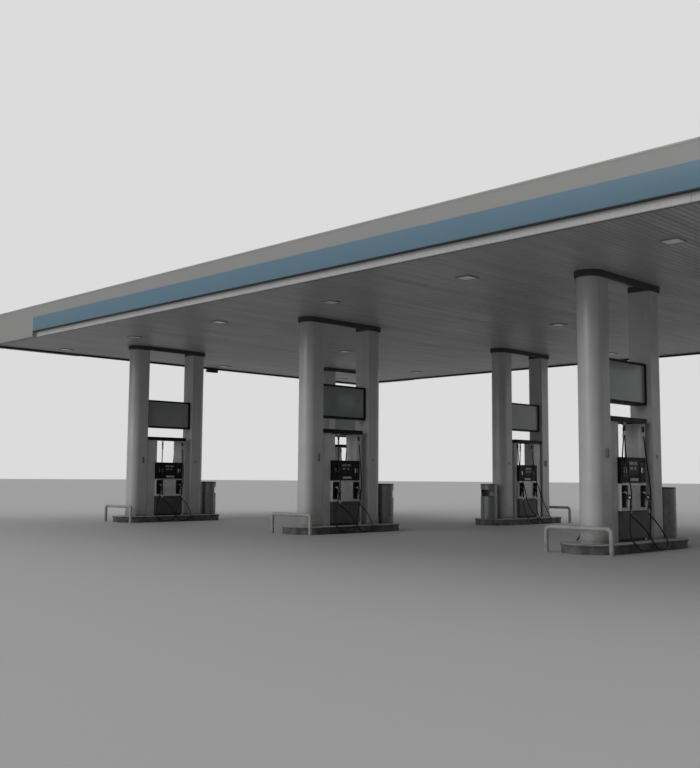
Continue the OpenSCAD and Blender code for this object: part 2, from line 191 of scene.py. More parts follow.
# Turns a drawing made in x and y into one that stands in y and z and grows towards +x
ON_SIDE = Matrix(((0, 0, 1, 0), (1, 0, 0, 0), (0, 1, 0, 0), (0, 0, 0, 1)))
MIRROR_X = Matrix.Diagonal((-1, 1, 1, 1))
MIRROR_Y = Matrix.Diagonal((1, -1, 1, 1))
ISLANDS = [Matrix.Translation((x, FRONT_Y, 0)) for x in ISLAND_X] + [
    Matrix.Translation((x, BACK_Y, 0)) @ MIRROR_Y for x in ISLAND_X
]
ALONE = [Matrix.Identity(4)]


# Colour and node helpers

def linear(text):
    """Turns an sRGB hex colour such as "#8090a0" into the linear colour that shaders use."""
    parts = [int(text[i:i + 2], 16) / 255 for i in (1, 3, 5)]
    curved = [p / 12.92 if p <= 0.04045 else ((p + 0.055) / 1.055) ** 2.4 for p in parts]
    return (*curved, 1.0)


def lighter(colour, by):
    """The same linear colour, brighter or darker by a factor."""
    return (*[min(1.0, c * by) for c in colour[:3]], 1.0)


def node(tree, kind, inputs=None, **settings):
    """Adds one node, applies its settings, and fills its sockets with values or links."""
    made = tree.nodes.new(kind)
    for name, value in settings.items():
        setattr(made, name, value)
    for socket, value in (inputs or {}).items():
        if isinstance(value, bpy.types.NodeSocket):
            tree.links.new(value, made.inputs[socket])
        else:
            made.inputs[socket].default_value = value
    return made


def bare_material(name):
    """Makes a material with one principled shader; gives its node tree and that shader."""
    made = bpy.data.materials.new(name)
    made.use_nodes = True
    tree = made.node_tree
    tree.nodes.clear()
    shader = node(tree, "ShaderNodeBsdfPrincipled")
    node(tree, "ShaderNodeOutputMaterial", {"Surface": shader.outputs["BSDF"]})
    return tree, shader


def weathered(name, colour, rough, dirt=0.12, dirt_colour="#4a4640", patch_m=0.6, grain_mm=1.5,
              grain=0.02, streak=0.0, metallic=0.0, coat=0.0, rise=0.0, ior=1.5):
    """A finish with cloudy soiling, rain streaks, dirt near the ground and a fine grain.

    Lengths are real: patch_m is the size of the soiled patches and grain_mm of the grain.
    """
    tree, shader = bare_material(name)
    where = node(tree, "ShaderNodeTexCoord").outputs["Object"]
    cloud = node(tree, "ShaderNodeTexNoise",
                 {"Vector": where, "Scale": 1 / patch_m, "Detail": 6.0, "Roughness": 0.62})
    soiled = node(tree, "ShaderNodeMapRange",
                  {"Value": cloud.outputs["Fac"], "From Min": 0.42, "From Max": 0.72,
                   "To Min": 0.0, "To Max": dirt})
    amount = soiled.outputs["Result"]
    if streak:
        # runs of water about 70 mm wide and 3 m tall
        tall = node(tree, "ShaderNodeMapping", {"Vector": where, "Scale": (14.0, 14.0, 0.35)})
        runs = node(tree, "ShaderNodeTexNoise",
                    {"Vector": tall.outputs["Vector"], "Scale": 1.0, "Detail": 4.0})
        run = node(tree, "ShaderNodeMapRange",
                   {"Value": runs.outputs["Fac"], "From Min": 0.5, "From Max": 0.75,
                    "To Min": 0.0, "To Max": streak})
        amount = node(tree, "ShaderNodeMath", {0: amount, 1: run.outputs["Result"]},
                      operation="ADD").outputs["Value"]
    if rise:
        height = node(tree, "ShaderNodeSeparateXYZ", {"Vector": where}).outputs["Z"]
        splash = node(tree, "ShaderNodeMapRange",
                      {"Value": height, "From Min": 0.0, "From Max": SPLASH_H,
                       "To Min": rise, "To Max": 0.0})
        ragged = node(tree, "ShaderNodeMath",
                      {0: splash.outputs["Result"], 1: cloud.outputs["Fac"]},
                      operation="MULTIPLY")
        amount = node(tree, "ShaderNodeMath", {0: amount, 1: ragged.outputs["Value"]},
                      operation="ADD").outputs["Value"]
    tone = node(tree, "ShaderNodeMix",
                {"Factor": amount, "A": colour, "B": linear(dirt_colour)}, data_type="RGBA")
    tree.links.new(tone.outputs["Result"], shader.inputs["Base Color"])
    fine = node(tree, "ShaderNodeTexNoise",
                {"Vector": where, "Scale": 1000 / grain_mm, "Detail": 3.0})
    gloss = node(tree, "ShaderNodeMapRange",
                 {"Value": cloud.outputs["Fac"], "From Min": 0.3, "From Max": 0.7,
                  "To Min": max(0.03, rough - 0.07), "To Max": min(1.0, rough + 0.09)})
    tree.links.new(gloss.outputs["Result"], shader.inputs["Roughness"])
    bump = node(tree, "ShaderNodeBump",
                {"Height": fine.outputs["Fac"], "Strength": grain, "Distance": 0.001})
    tree.links.new(bump.outputs["Normal"], shader.inputs["Normal"])
    shader.inputs["Metallic"].default_value = metallic
    shader.inputs["Coat Weight"].default_value = coat
    shader.inputs["IOR"].default_value = ior


# Shape helpers

def soft_rect(x0, x1, y0, y1, radius, steps=4):
    """Corners of a rectangle with rounded corners, anticlockwise; one step gives a chamfer."""
    out = []
    places = ((x1, y0, -90), (x1, y1, 0), (x0, y1, 90), (x0, y0, 180))
    for x, y, start in places:
        cx = x - radius if x == x1 else x + radius
        cy = y - radius if y == y1 else y + radius
        for i in range(steps + 1):
            a = math.radians(start + 90 * i / steps)
            out.append((cx + radius * math.cos(a), cy + radius * math.sin(a)))
    return out


def rotated(degrees, axis):
    """A turn round one axis."""
    return Matrix.Rotation(math.radians(degrees), 4, axis)


def on_side(y, z, x):
    """A place on the +x side whose z axis points outwards."""
    return ON_SIDE @ Matrix.Translation((y, z, x))


def nozzle_place(at):
    """Where a nozzle hangs, in the island's frame."""
    return Matrix.Translation(at) @ rotated(NOZZLE_TURN, "Z")


def neck_place(place):
    """The neck of a nozzle, whose z axis runs up the spout."""
    return place @ Matrix.Translation(NECK_AT) @ rotated(90 - SPOUT_UP, "X")


def circle(x, y, radius, sides=24):
    """Corners of a circle, anticlockwise."""
    turn = 2 * math.pi / sides
    return [(x + radius * math.cos(i * turn), y + radius * math.sin(i * turn))
            for i in range(sides)]


def inset(outline, by):
    """The outline moved inwards, or outwards where by is negative; it runs anticlockwise."""
    out = []
    n = len(outline)
    for i in range(n):
        a, b, c = (Vector(outline[j % n]) for j in (i - 1, i, i + 1))
        first = (b - a).normalized()
        second = (c - b).normalized()
        side = Vector((-first.y, first.x)) + Vector((-second.y, second.x))
        if side.length < 1e-6:
            side = Vector((-first.y, first.x))
        side.normalize()
        share = max(0.35, side.dot(Vector((-first.y, first.x))))
        out.append(tuple(b + side * (by / share)))
    return out


def column_outline(grow=0.0, seam=True, back=None):
    """Plan of a column casing: half round nose towards -y, flat back, a seam on each side.

    It stands out by grow all round. Where back is given, that is how far it stands out on the
    flat back and on the flat part of the -x side.
    """
    r = COLUMN_R + grow
    y_nose = -COLUMN_IN - COLUMN_FLAT
    y_back = -COLUMN_IN + (grow if back is None else back)
    x_left = -r if back is None else -COLUMN_R - back
    lip = 0.006
    steps = 40
    # the seam is a groove 8 mm wide and 3 mm deep: how far back from the nose, and how deep
    groove = ((0.006, 0.0), (0.008, 0.003), (0.012, 0.003), (0.014, 0.0)) if seam else ()
    out = []
    for i in range(steps + 1):
        a = math.radians(180 + 180 * i / steps)
        out.append((r * math.cos(a), y_nose + r * math.sin(a)))
    out += [(r - deep, y_nose + far) for far, deep in groove]
    out += [(r, y_back - lip), (r - lip, y_back), (x_left + lip, y_back), (x_left, y_back - lip)]
    if back is not None:
        out += [(x_left, y_nose + 0.02), (-r, y_nose + 0.02)]
    out += [(-r + deep, y_nose + far) for far, deep in reversed(groove)]
    return out


class Form:
    """Corners, faces and finish numbers of one piece, in metres, before they become a mesh."""

    def __init__(self):
        self.corners = []
        self.faces = []
        self.finishes = []

    def add(self, corners, faces, finish=0, place=None):
        """Adds corners and the faces between them."""
        start = len(self.corners)
        for c in corners:
            self.corners.append(place @ Vector(c) if place else Vector(c))
        for f in faces:
            self.faces.append(tuple(i + start for i in f))
            self.finishes.append(finish)

    def loft(self, rings, finish=0, place=None, ends=True, loop=True):
        """Skins rings of equal length, and closes the first and the last."""
        n = len(rings[0])
        faces = []
        for r in range(len(rings) - 1):
            for i in range(n if loop else n - 1):
                j = (i + 1) % n
                faces.append((r * n + i, r * n + j, (r + 1) * n + j, (r + 1) * n + i))
        if ends:
            faces.append(tuple(range(n))[::-1])
            faces.append(tuple(range((len(rings) - 1) * n, len(rings) * n)))
        self.add([c for ring in rings for c in ring], faces, finish, place)

    def prism(self, outline, z0, z1, edge=0.0, finish=0, place=None):
        """An outline raised from z0 to z1, with its rims bevelled by edge."""
        if edge:
            small = inset(outline, edge)
            levels = ((small, z0), (outline, z0 + edge), (outline, z1 - edge), (small, z1))
        else:
            levels = ((outline, z0), (outline, z1))
        self.loft([[(x, y, z) for x, y in line] for line, z in levels], finish, place)

    def block(self, x0, x1, y0, y1, z0, z1, edge=0.0, finish=0, place=None):
        """A box with all its edges bevelled by edge."""
        corners = [(x0, y0), (x1, y0), (x1, y1), (x0, y1)]
        line = soft_rect(x0, x1, y0, y1, edge, 1) if edge else corners
        self.prism(line, z0, z1, edge, finish, place)

    def plate(self, y0, y1, z0, z1, radius, steps, x0, x1, edge, finish=0):
        """A plate with rounded corners that stands on the +x side, from x0 to x1."""
        self.prism(soft_rect(y0, y1, z0, z1, radius, steps), x0, x1, edge, finish, ON_SIDE)

    def rim(self, outer, inner, z0, z1, edge, finish=0, place=None):
        """A frame between two outlines of the same number of corners, open at the back."""
        lines = ((outer, z0), (outer, z1 - edge), (inset(outer, edge), z1),
                 (inset(inner, -edge), z1), (inner, z1 - edge), (inner, z0))
        self.loft([[(x, y, z) for x, y in line] for line, z in lines], finish, place, ends=False)

    def turned(self, profile, sides=24, finish=0, place=None, ends=True):
        """A shape turned round the z axis from a profile of radius and height."""
        rings = [[(x, y, z) for x, y in circle(0, 0, r, sides)] for r, z in profile]
        self.loft(rings, finish, place, ends)

    def tube(self, path, radius, sides=16, finish=0, place=None, ends=True):
        """A round tube along a path; radius is one number or one for each point."""
        points = [Vector(p) for p in path]
        radii = radius if isinstance(radius, (list, tuple)) else [radius] * len(points)
        side = None
        rings = []
        for i, p in enumerate(points):
            ahead = points[min(i + 1, len(points) - 1)] - p
            behind = p - points[max(i - 1, 0)]
            way = (ahead.normalized() + behind.normalized()).normalized()
            if side is None:
                side = way.orthogonal().normalized()
            side = (side - way * side.dot(way)).normalized()
            other = way.cross(side)
            # a mitred bend is wider across the corner, so that the tube keeps its width
            lean = max(0.6, way.dot(ahead.normalized()) if ahead.length else 1.0)
            across = Vector((0, 0, 0))
            if ahead.length and behind.length:
                across = ahead.normalized() - behind.normalized()
            ring = []
            for k in range(sides):
                a = 2 * math.pi * k / sides
                spoke = side * math.cos(a) + other * math.sin(a)
                if across.length > 1e-4:
                    out = across.normalized()
                    spoke = spoke + out * spoke.dot(out) * (1 / lean - 1)
                ring.append(p + spoke * radii[i])
            rings.append(ring)
        self.loft(rings, finish, place, ends)

    def join(self, other):
        """Takes over all that another form holds."""
        start = len(self.corners)
        self.corners += other.corners
        self.faces += [tuple(i + start for i in f) for f in other.faces]
        self.finishes += other.finishes

    def repeat(self, mirror):
        """Repeats all that is here in a mirror."""
        start = len(self.corners)
        self.corners += [mirror @ c for c in self.corners]
        self.faces += [tuple(i + start for i in f[::-1]) for f in self.faces]
        self.finishes += list(self.finishes)

    def both_sides(self):
        """Repeats all that is here mirrored across x."""
        self.repeat(MIRROR_X)

    def both_ends(self):
        """Repeats all that is here mirrored across y."""
        self.repeat(MIRROR_Y)


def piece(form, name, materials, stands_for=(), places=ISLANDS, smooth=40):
    """Makes one object of a form, repeated at each place, and lets it ride on the frame."""
    corners = []
    faces = []
    marks = []
    for place in places:
        start = len(corners)
        corners += [tuple(place @ c) for c in form.corners]
        turned_over = place.determinant() < 0
        for f in form.faces:
            face = tuple(i + start for i in f)
            faces.append(face[::-1] if turned_over else face)
        marks += form.finishes
    mesh = bpy.data.meshes.new(name)
    mesh.from_pydata(corners, [], faces)
    mesh.polygons.foreach_set("material_index", marks)
    mesh.polygons.foreach_set("use_smooth", [True] * len(mesh.polygons))
    shell = bmesh.new()
    shell.from_mesh(mesh)
    bmesh.ops.recalc_face_normals(shell, faces=shell.faces)
    shell.to_mesh(mesh)
    shell.free()
    mesh.set_sharp_from_angle(angle=math.radians(smooth))
    for m in materials:
        mesh.materials.append(m)
    made = bpy.data.objects.new(name, mesh)
    bpy.context.scene.collection.objects.link(made)
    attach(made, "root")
    if stands_for:
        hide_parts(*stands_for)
    return made


def dress(node_name, material):
    """Gives a node of the frame that is shown as it is a procedural material."""
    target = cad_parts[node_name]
    target.data.materials.clear()
    target.data.materials.append(material)


def finish_of(name):
    """A material that an earlier step made, or a plain message if it is missing."""
    found = bpy.data.materials.get(name)
    if found is None:
        raise RuntimeError(f"the material {name} isn't there; run the finishes first")
    return found


# Sizes and colours that a user may change

class CanopySizes(bpy.types.PropertyGroup):
    slat_pitch: FloatProperty(
        name="Slat pitch", description="Distance between two slats of the soffit",
        default=0.123, min=0.08, max=0.4, unit="LENGTH")
    slat_gap: FloatProperty(
        name="Slat gap", description="Width of the groove between two slats",
        default=0.012, min=0.005, max=0.06, unit="LENGTH")
    slat_depth: FloatProperty(
        name="Slat groove depth", description="Depth of the groove between two slats",
        default=0.010, min=0.004, max=0.024, unit="LENGTH")
    panel_joint: FloatProperty(
        name="Panel joint", description="Width of the open joints of the fascia panels",
        default=0.003, min=0.002, max=0.02, unit="LENGTH")
    deck_pitch: FloatProperty(
        name="Deck rib pitch", description="Distance between two ribs of the roof sheets",
        default=0.25, min=0.1, max=0.6, unit="LENGTH")
    hose_sides: IntProperty(
        name="Hose smoothness", description="Points along a hose between two route points",
        default=6, min=2, max=12)


class CanopyColours(bpy.types.PropertyGroup):
    fascia: FloatVectorProperty(
        name="Fascia", description="Coil coated steel of the fascia and the corners",
        subtype="COLOR", default=linear("#989897")[:3], min=0, max=1)
    band: FloatVectorProperty(
        name="Band", description="Polyester coated blue steel of the band",
        subtype="COLOR", default=linear("#678496")[:3], min=0, max=1)
    strip: FloatVectorProperty(
        name="Lower strip", description="Pale coated strip under the band",
        subtype="COLOR", default=linear("#b9b9b9")[:3], min=0, max=1)
    soffit: FloatVectorProperty(
        name="Soffit", description="Stove enamelled aluminium slats",
        subtype="COLOR", default=linear("#a9aaaa")[:3], min=0, max=1)
    column: FloatVectorProperty(
        name="Columns", description="Painted aluminium casings of the columns",
        subtype="COLOR", default=linear("#b5b6b5")[:3], min=0, max=1)
    cap: FloatVectorProperty(
        name="Caps", description="Dark painted caps and headers",
        subtype="COLOR", default=linear("#383939")[:3], min=0, max=1)
    dispenser: FloatVectorProperty(
        name="Dispenser", description="Pale grey powder coat of pillars and nozzle panel",
        subtype="COLOR", default=linear("#d2d2d1")[:3], min=0, max=1)
    cabinet: FloatVectorProperty(
        name="Cabinet", description="Dark powder coat of the lower cabinet",
        subtype="COLOR", default=linear("#3a3b3c")[:3], min=0, max=1)
    concrete: FloatVectorProperty(
        name="Concrete", description="Precast concrete of the kerbs",
        subtype="COLOR", default=linear("#b6b6b4")[:3], min=0, max=1)
    floor: FloatVectorProperty(
        name="Floor", description="Plain pale floor under the model",
        subtype="COLOR", default=linear("#a8a8a8")[:3], min=0, max=1)


def four(colour):
    """A colour property as the four numbers that a shader socket takes."""
    return (*colour[:3], 1.0)


# Operators, in the order in which the main function calls them

class CANOPY_OT_finishes(bpy.types.Operator):
    """Make the materials of the canopy, the islands and the dispensers."""

    bl_idname = "canopy.finishes"
    bl_label = "Finishes"

    def execute(self, context):
        c = context.scene.canopy_colours
        # Coil coated steel sheet: smooth, half matt and evenly chalked
        weathered("coil coated steel, grey", four(c.fascia), 0.45, 0.10, "#7d7c7a", 3.0, 2.0,
                  0.01, streak=0.02)
        # Polyester coated steel sheet: a clean, even blue with a soft sheen
        weathered("coil coated steel, blue", four(c.band), 0.38, 0.08, "#6f8796", 3.0, 2.0, 0.01,
                  streak=0.02)
        # Pale coated aluminium strip: brighter than the fascia, with grey runs of water
        weathered("coated aluminium strip, pale", four(c.strip), 0.42, 0.20, "#8c8983", 0.9, 2.0,
                  0.01, streak=0.22)
        # Folded aluminium coping: bare mill finish gone dull
        weathered("folded aluminium coping", linear("#a8a8a6"), 0.5, 0.2, "#6d6b67", 0.8, 1.5,
                  0.02, metallic=0.25)
        # Stove enamelled aluminium casing: satin, wipes clean, splashed near the ground
        weathered("enamelled aluminium casing", four(c.column), 0.36, 0.16, "#6a6863", 0.7, 1.2,
                  0.012, streak=0.10, rise=0.9, coat=0.15)
        # The skirt's sheet is the same enamel, scuffed by feet and brooms
        weathered("enamelled aluminium skirt", lighter(four(c.column), 0.9), 0.5, 0.3,
                  "#55534f", 0.25, 1.2, 0.03, rise=0.45)
        # Dark paint on steel: caps and headers, flat and dusty
        weathered("dark painted steel", four(c.cap), 0.62, 0.2, "#4c4b48", 0.5, 1.5, 0.015)
        # Black powder coat: fine orange peel with only a weak sheen
        weathered("black powder coat", linear("#0c0d0e"), 0.5, 0.15, "#212120", 0.35, 2.5, 0.05,
                  ior=1.25)
        # Zinc plated steel of sign brackets and screws: dull grey metal
        weathered("zinc plated steel", linear("#7f8081"), 0.48, 0.3, "#4a4845", 0.12, 0.8, 0.03,
                  metallic=0.7)
        # Grey powder coat of the dispenser: light orange peel with faint runs down it
        weathered("grey powder coat", four(c.dispenser), 0.44, 0.22, "#4d4b47", 0.3, 2.5, 0.05,
                  streak=0.18)
        # Dark powder coat of the lower cabinet: duller, with dust low down
        weathered("dark powder coat", four(c.cabinet), 0.5, 0.25, "#6a6864", 0.35, 2.5, 0.05,
                  rise=0.35)
        # Black bitumen paint on the recessed plinth: matt and coarse
        weathered("black bitumen paint", linear("#1a1a1a"), 0.7, 0.3, "#4d4b48", 0.2, 3.0, 0.15)
        # Moulded ABS of the nozzle pockets: matt, rubbed grey in small patches
        weathered("moulded ABS, black", linear("#191a1a"), 0.5, 0.3, "#4b4b4a", 0.06, 0.6, 0.05)
        # Grey moulded ABS of the call boxes: satin, a little yellowed by the sun
        weathered("moulded ABS, grey", linear("#7e7e7b"), 0.45, 0.2, "#55534e", 0.08, 0.8, 0.03)
        # Nitrile rubber cover of the hoses: matt, slightly dusty
        weathered("nitrile rubber hose", linear("#070707"), 0.6, 0.12, "#33322e", 0.2, 1.0, 0.1,
                  ior=1.35)
        # Rubber sleeve of the nozzle: black and a little shiny, with small dull patches
        weathered("nozzle sleeve rubber", linear("#141414"), 0.4, 0.2, "#3b3a38", 0.05, 0.8, 0.1)
        # Drawn aluminium tube: bright soft metal, dulled in small patches
        weathered("drawn aluminium", linear("#b4b6b8"), 0.3, 0.25, "#6f6f6d", 0.05, 0.5, 0.03,
                  metallic=0.9)
        # Nickel plated brass couplings: pale metal, dulled by dust and weather
        weathered("nickel plated brass", linear("#c2c2bd"), 0.45, 0.2, "#5d5b55", 0.05, 0.5, 0.03,
                  metallic=0.5)
        # Painted steel tube of the hoop rails: pale satin paint, soiled in patches and splashed
        weathered("painted steel tube", linear("#a3a3a2"), 0.4, 0.25, "#636362", 0.14, 1.2, 0.04,
                  rise=0.9)
        # Painted sheet steel of the bins: grey satin with a metallic sheen, splashed low down
        weathered("painted bin steel", linear("#7f8182"), 0.30, 0.25, "#4c4a47", 0.3, 1.2, 0.02,
                  metallic=0.35, rise=0.5, coat=0.2)
        # Paint of the bin lids: darker and duller, with pale dust
        weathered("painted bin lid", linear("#3d3e3f"), 0.42, 0.35, "#6a6865", 0.2, 1.2, 0.02)
        # Stove enamelled steel of the lamp frames: even grey with a dull sheen
        weathered("enamelled lamp frame", linear("#8d8f90"), 0.45, 0.2, "#5c5a57", 0.2, 1.0, 0.01)
        # Dark folded trim round the soffit: flat, a dark line against the pale strip; the same dark
        # finish also paints the shadow under the blue band
        weathered("dark folded trim and painted shadow", linear("#2e2f2f"), 0.55, 0.2, "#4a4947", 0.6, 1.5, 0.01)
        # Galvanised trapezoidal roof sheets: dull zinc with patches
        weathered("galvanised roof sheet", linear("#8f9294"), 0.45, 0.35, "#5f5d58", 0.9, 6.0,
                  0.03, metallic=0.5)
        # Alkyd paint on rolled girders: even grey with a dull sheen
        weathered("painted girder steel", linear("#6f7375"), 0.5, 0.25, "#4b4845", 0.5, 2.0, 0.03)
        # Bare backing behind the slats, almost in the dark
        weathered("soffit backing felt", linear("#1d1e1f"), 0.9, 0.1, "#2c2b29", 0.5, 4.0, 0.2)
        # Mortar in the kerb's joints and under the feet of columns and rails: pale and grainy
        weathered("joint mortar", linear("#96948f"), 0.9, 0.35, "#5c5a56", 0.1, 2.0, 0.4)
        self.concrete(context)
        self.slats(context)
        self.sign_face()
        self.display_glass()
        self.lamp_diffuser()
        return {"FINISHED"}

    def concrete(self, context):
        # Precast concrete: grey paste with fine pores and blotchy stains, and painted shade that
        # makes the sides much darker than the top
        tree, shader = bare_material("precast concrete")
        where = node(tree, "ShaderNodeTexCoord").outputs["Object"]
        blotch = node(tree, "ShaderNodeTexNoise",
                      {"Vector": where, "Scale": 3.0, "Detail": 8.0, "Roughness": 0.7})
        grit = node(tree, "ShaderNodeTexNoise",
                    {"Vector": where, "Scale": 160.0, "Detail": 4.0})
        # air holes about 11 mm apart, coarser than the real ones so that they show
        pores = node(tree, "ShaderNodeTexVoronoi", {"Vector": where, "Scale": 90.0})
        hole = node(tree, "ShaderNodeMapRange",
                    {"Value": pores.outputs["Distance"], "From Min": 0.05, "From Max": 0.22,
                     "To Min": 0.0, "To Max": 1.0})
        facing = node(tree, "ShaderNodeSeparateXYZ",
                      {"Vector": node(tree, "ShaderNodeNewGeometry").outputs["Normal"]})
        # painted shade: the sides, which face away from the sky, are much darker than the top
        side = node(tree, "ShaderNodeMapRange",
                    {"Value": facing.outputs["Z"], "From Min": 0.15, "From Max": 0.85,
                     "To Min": 0.72, "To Max": 0.0})
        stain = node(tree, "ShaderNodeMapRange",
                     {"Value": blotch.outputs["Fac"], "From Min": 0.4, "From Max": 0.75,
                      "To Min": 0.0, "To Max": 0.5})
        dark = node(tree, "ShaderNodeMath",
                    {0: side.outputs["Result"], 1: stain.outputs["Result"]}, operation="ADD",
                    use_clamp=True)
        tone = node(tree, "ShaderNodeMix",
                    {"Factor": dark.outputs["Value"],
                     "A": four(context.scene.canopy_colours.concrete),
                     "B": linear("#4a4a49")}, data_type="RGBA")
        speck = node(tree, "ShaderNodeMix",
                     {"Factor": grit.outputs["Fac"], "A": tone.outputs["Result"],
                      "B": linear("#8a8a88")}, data_type="RGBA", blend_type="SOFT_LIGHT")
        tree.links.new(speck.outputs["Result"], shader.inputs["Base Color"])
        shader.inputs["Roughness"].default_value = 0.85
        height = node(tree, "ShaderNodeMath",
                      {0: grit.outputs["Fac"], 1: hole.outputs["Result"]}, operation="MULTIPLY")
        bump = node(tree, "ShaderNodeBump",
                    {"Height": height.outputs["Value"], "Strength": 0.6, "Distance": 0.002})
        tree.links.new(bump.outputs["Normal"], shader.inputs["Normal"])

    def slats(self, context):
        # Stove enamelled aluminium slats: each strip of slats is a little lighter or darker,
        # with faint dust that lies in long streaks along the slats
        tree, shader = bare_material("enamelled soffit slats")
        where = node(tree, "ShaderNodeTexCoord").outputs["Object"]
        pitch = context.scene.canopy_sizes.slat_pitch
        across = node(tree, "ShaderNodeSeparateXYZ", {"Vector": where}).outputs["X"]
        count = node(tree, "ShaderNodeMath", {0: across, 1: pitch}, operation="DIVIDE")
        whole = node(tree, "ShaderNodeMath", {0: count.outputs["Value"]}, operation="FLOOR")
        own = node(tree, "ShaderNodeTexWhiteNoise", {"W": whole.outputs["Value"]},
                   noise_dimensions="1D")
        stretched = node(tree, "ShaderNodeMapping", {"Vector": where, "Scale": (5.0, 0.4, 1.0)})
        dust = node(tree, "ShaderNodeTexNoise",
                    {"Vector": stretched.outputs["Vector"], "Scale": 1.0, "Detail": 5.0})
        part = node(tree, "ShaderNodeMapRange",
                    {"Value": own.outputs["Value"], "From Min": 0.0, "From Max": 1.0,
                     "To Min": 0.0, "To Max": 0.22})
        film = node(tree, "ShaderNodeMapRange",
                    {"Value": dust.outputs["Fac"], "From Min": 0.4, "From Max": 0.7,
                     "To Min": 0.0, "To Max": 0.25})
        amount = node(tree, "ShaderNodeMath",
                      {0: part.outputs["Result"], 1: film.outputs["Result"]}, operation="ADD")
        base = four(context.scene.canopy_colours.soffit)
        tone = node(tree, "ShaderNodeMix",
                    {"Factor": amount.outputs["Value"], "A": base, "B": lighter(base, 0.62)},
                    data_type="RGBA")
        tree.links.new(tone.outputs["Result"], shader.inputs["Base Color"])
        gloss = node(tree, "ShaderNodeMapRange",
                     {"Value": dust.outputs["Fac"], "From Min": 0.3, "From Max": 0.7,
                      "To Min": 0.34, "To Max": 0.5})
        tree.links.new(gloss.outputs["Result"], shader.inputs["Roughness"])

    def sign_face(self):
        # Cast acrylic sheet over an unlit light box: very glossy mid grey, with a dusty film
        tree, shader = bare_material("acrylic sign sheet")
        where = node(tree, "ShaderNodeTexCoord").outputs["Object"]
        film = node(tree, "ShaderNodeTexNoise",
                    {"Vector": where, "Scale": 2.2, "Detail": 6.0, "Roughness": 0.6})
        tone = node(tree, "ShaderNodeMix",
                    {"Factor": film.outputs["Fac"], "A": linear("#7c8081"),
                     "B": linear("#949797")}, data_type="RGBA")
        tree.links.new(tone.outputs["Result"], shader.inputs["Base Color"])
        gloss = node(tree, "ShaderNodeMapRange",
                     {"Value": film.outputs["Fac"], "From Min": 0.35, "From Max": 0.7,
                      "To Min": 0.05, "To Max": 0.22})
        tree.links.new(gloss.outputs["Result"], shader.inputs["Roughness"])
        shader.inputs["IOR"].default_value = 1.42

    def display_glass(self):
        # Etched glass over a black mask: deep black with a soft, cloudy reflection
        tree, shader = bare_material("display glass")
        where = node(tree, "ShaderNodeTexCoord").outputs["Object"]
        marks = node(tree, "ShaderNodeTexNoise", {"Vector": where, "Scale": 14.0, "Detail": 5.0})
        gloss = node(tree, "ShaderNodeMapRange",
                     {"Value": marks.outputs["Fac"], "From Min": 0.45, "From Max": 0.7,
                      "To Min": 0.22, "To Max": 0.4})
        tone = node(tree, "ShaderNodeMix",
                    {"Factor": marks.outputs["Fac"], "A": linear("#08090a"),
                     "B": linear("#111213")}, data_type="RGBA")
        tree.links.new(tone.outputs["Result"], shader.inputs["Base Color"])
        tree.links.new(gloss.outputs["Result"], shader.inputs["Roughness"])
        shader.inputs["IOR"].default_value = 1.22
        # Reflective grey of an unpowered liquid crystal window, with faint bars
        tree, shader = bare_material("liquid crystal window")
        where = node(tree, "ShaderNodeTexCoord").outputs["Object"]
        # bars 9 mm apart stand for the segments of the figures
        bars = node(tree, "ShaderNodeTexWave", {"Vector": where, "Scale": 35.0},
                    wave_type="BANDS", bands_direction="Y")
        tone = node(tree, "ShaderNodeMix",
                    {"Factor": bars.outputs["Fac"], "A": linear("#6c706a"),
                     "B": linear("#7f837d")}, data_type="RGBA")
        tree.links.new(tone.outputs["Result"], shader.inputs["Base Color"])
        shader.inputs["Roughness"].default_value = 0.25
        # Pale enamelled plate, left bare: clean and half matt
        weathered("bare pale plate", linear("#b7b7b4"), 0.4, 0.2, "#77756f", 0.05, 1.0, 0.01)

    def lamp_diffuser(self):
        # Prismatic acrylic of an unlit lamp: milky white with a fine grid of pyramids
        tree, shader = bare_material("prismatic acrylic diffuser")
        where = node(tree, "ShaderNodeTexCoord").outputs["Object"]
        # pyramids 12 mm apart, coarser than the real 6 mm so that they show
        cells = node(tree, "ShaderNodeTexVoronoi", {"Vector": where, "Scale": 85.0},
                     distance="CHEBYCHEV")
        dust = node(tree, "ShaderNodeTexNoise", {"Vector": where, "Scale": 5.0, "Detail": 5.0})
        tone = node(tree, "ShaderNodeMix",
                    {"Factor": dust.outputs["Fac"], "A": linear("#f2f3f1"),
                     "B": linear("#cfd0cc")}, data_type="RGBA")
        tree.links.new(tone.outputs["Result"], shader.inputs["Base Color"])
        shader.inputs["Roughness"].default_value = 0.25
        shader.inputs["IOR"].default_value = 1.49
        shader.inputs["Subsurface Weight"].default_value = 0.2
        bump = node(tree, "ShaderNodeBump",
                    {"Height": cells.outputs["Distance"], "Strength": 0.3, "Distance": 0.002})
        tree.links.new(bump.outputs["Normal"], shader.inputs["Normal"])


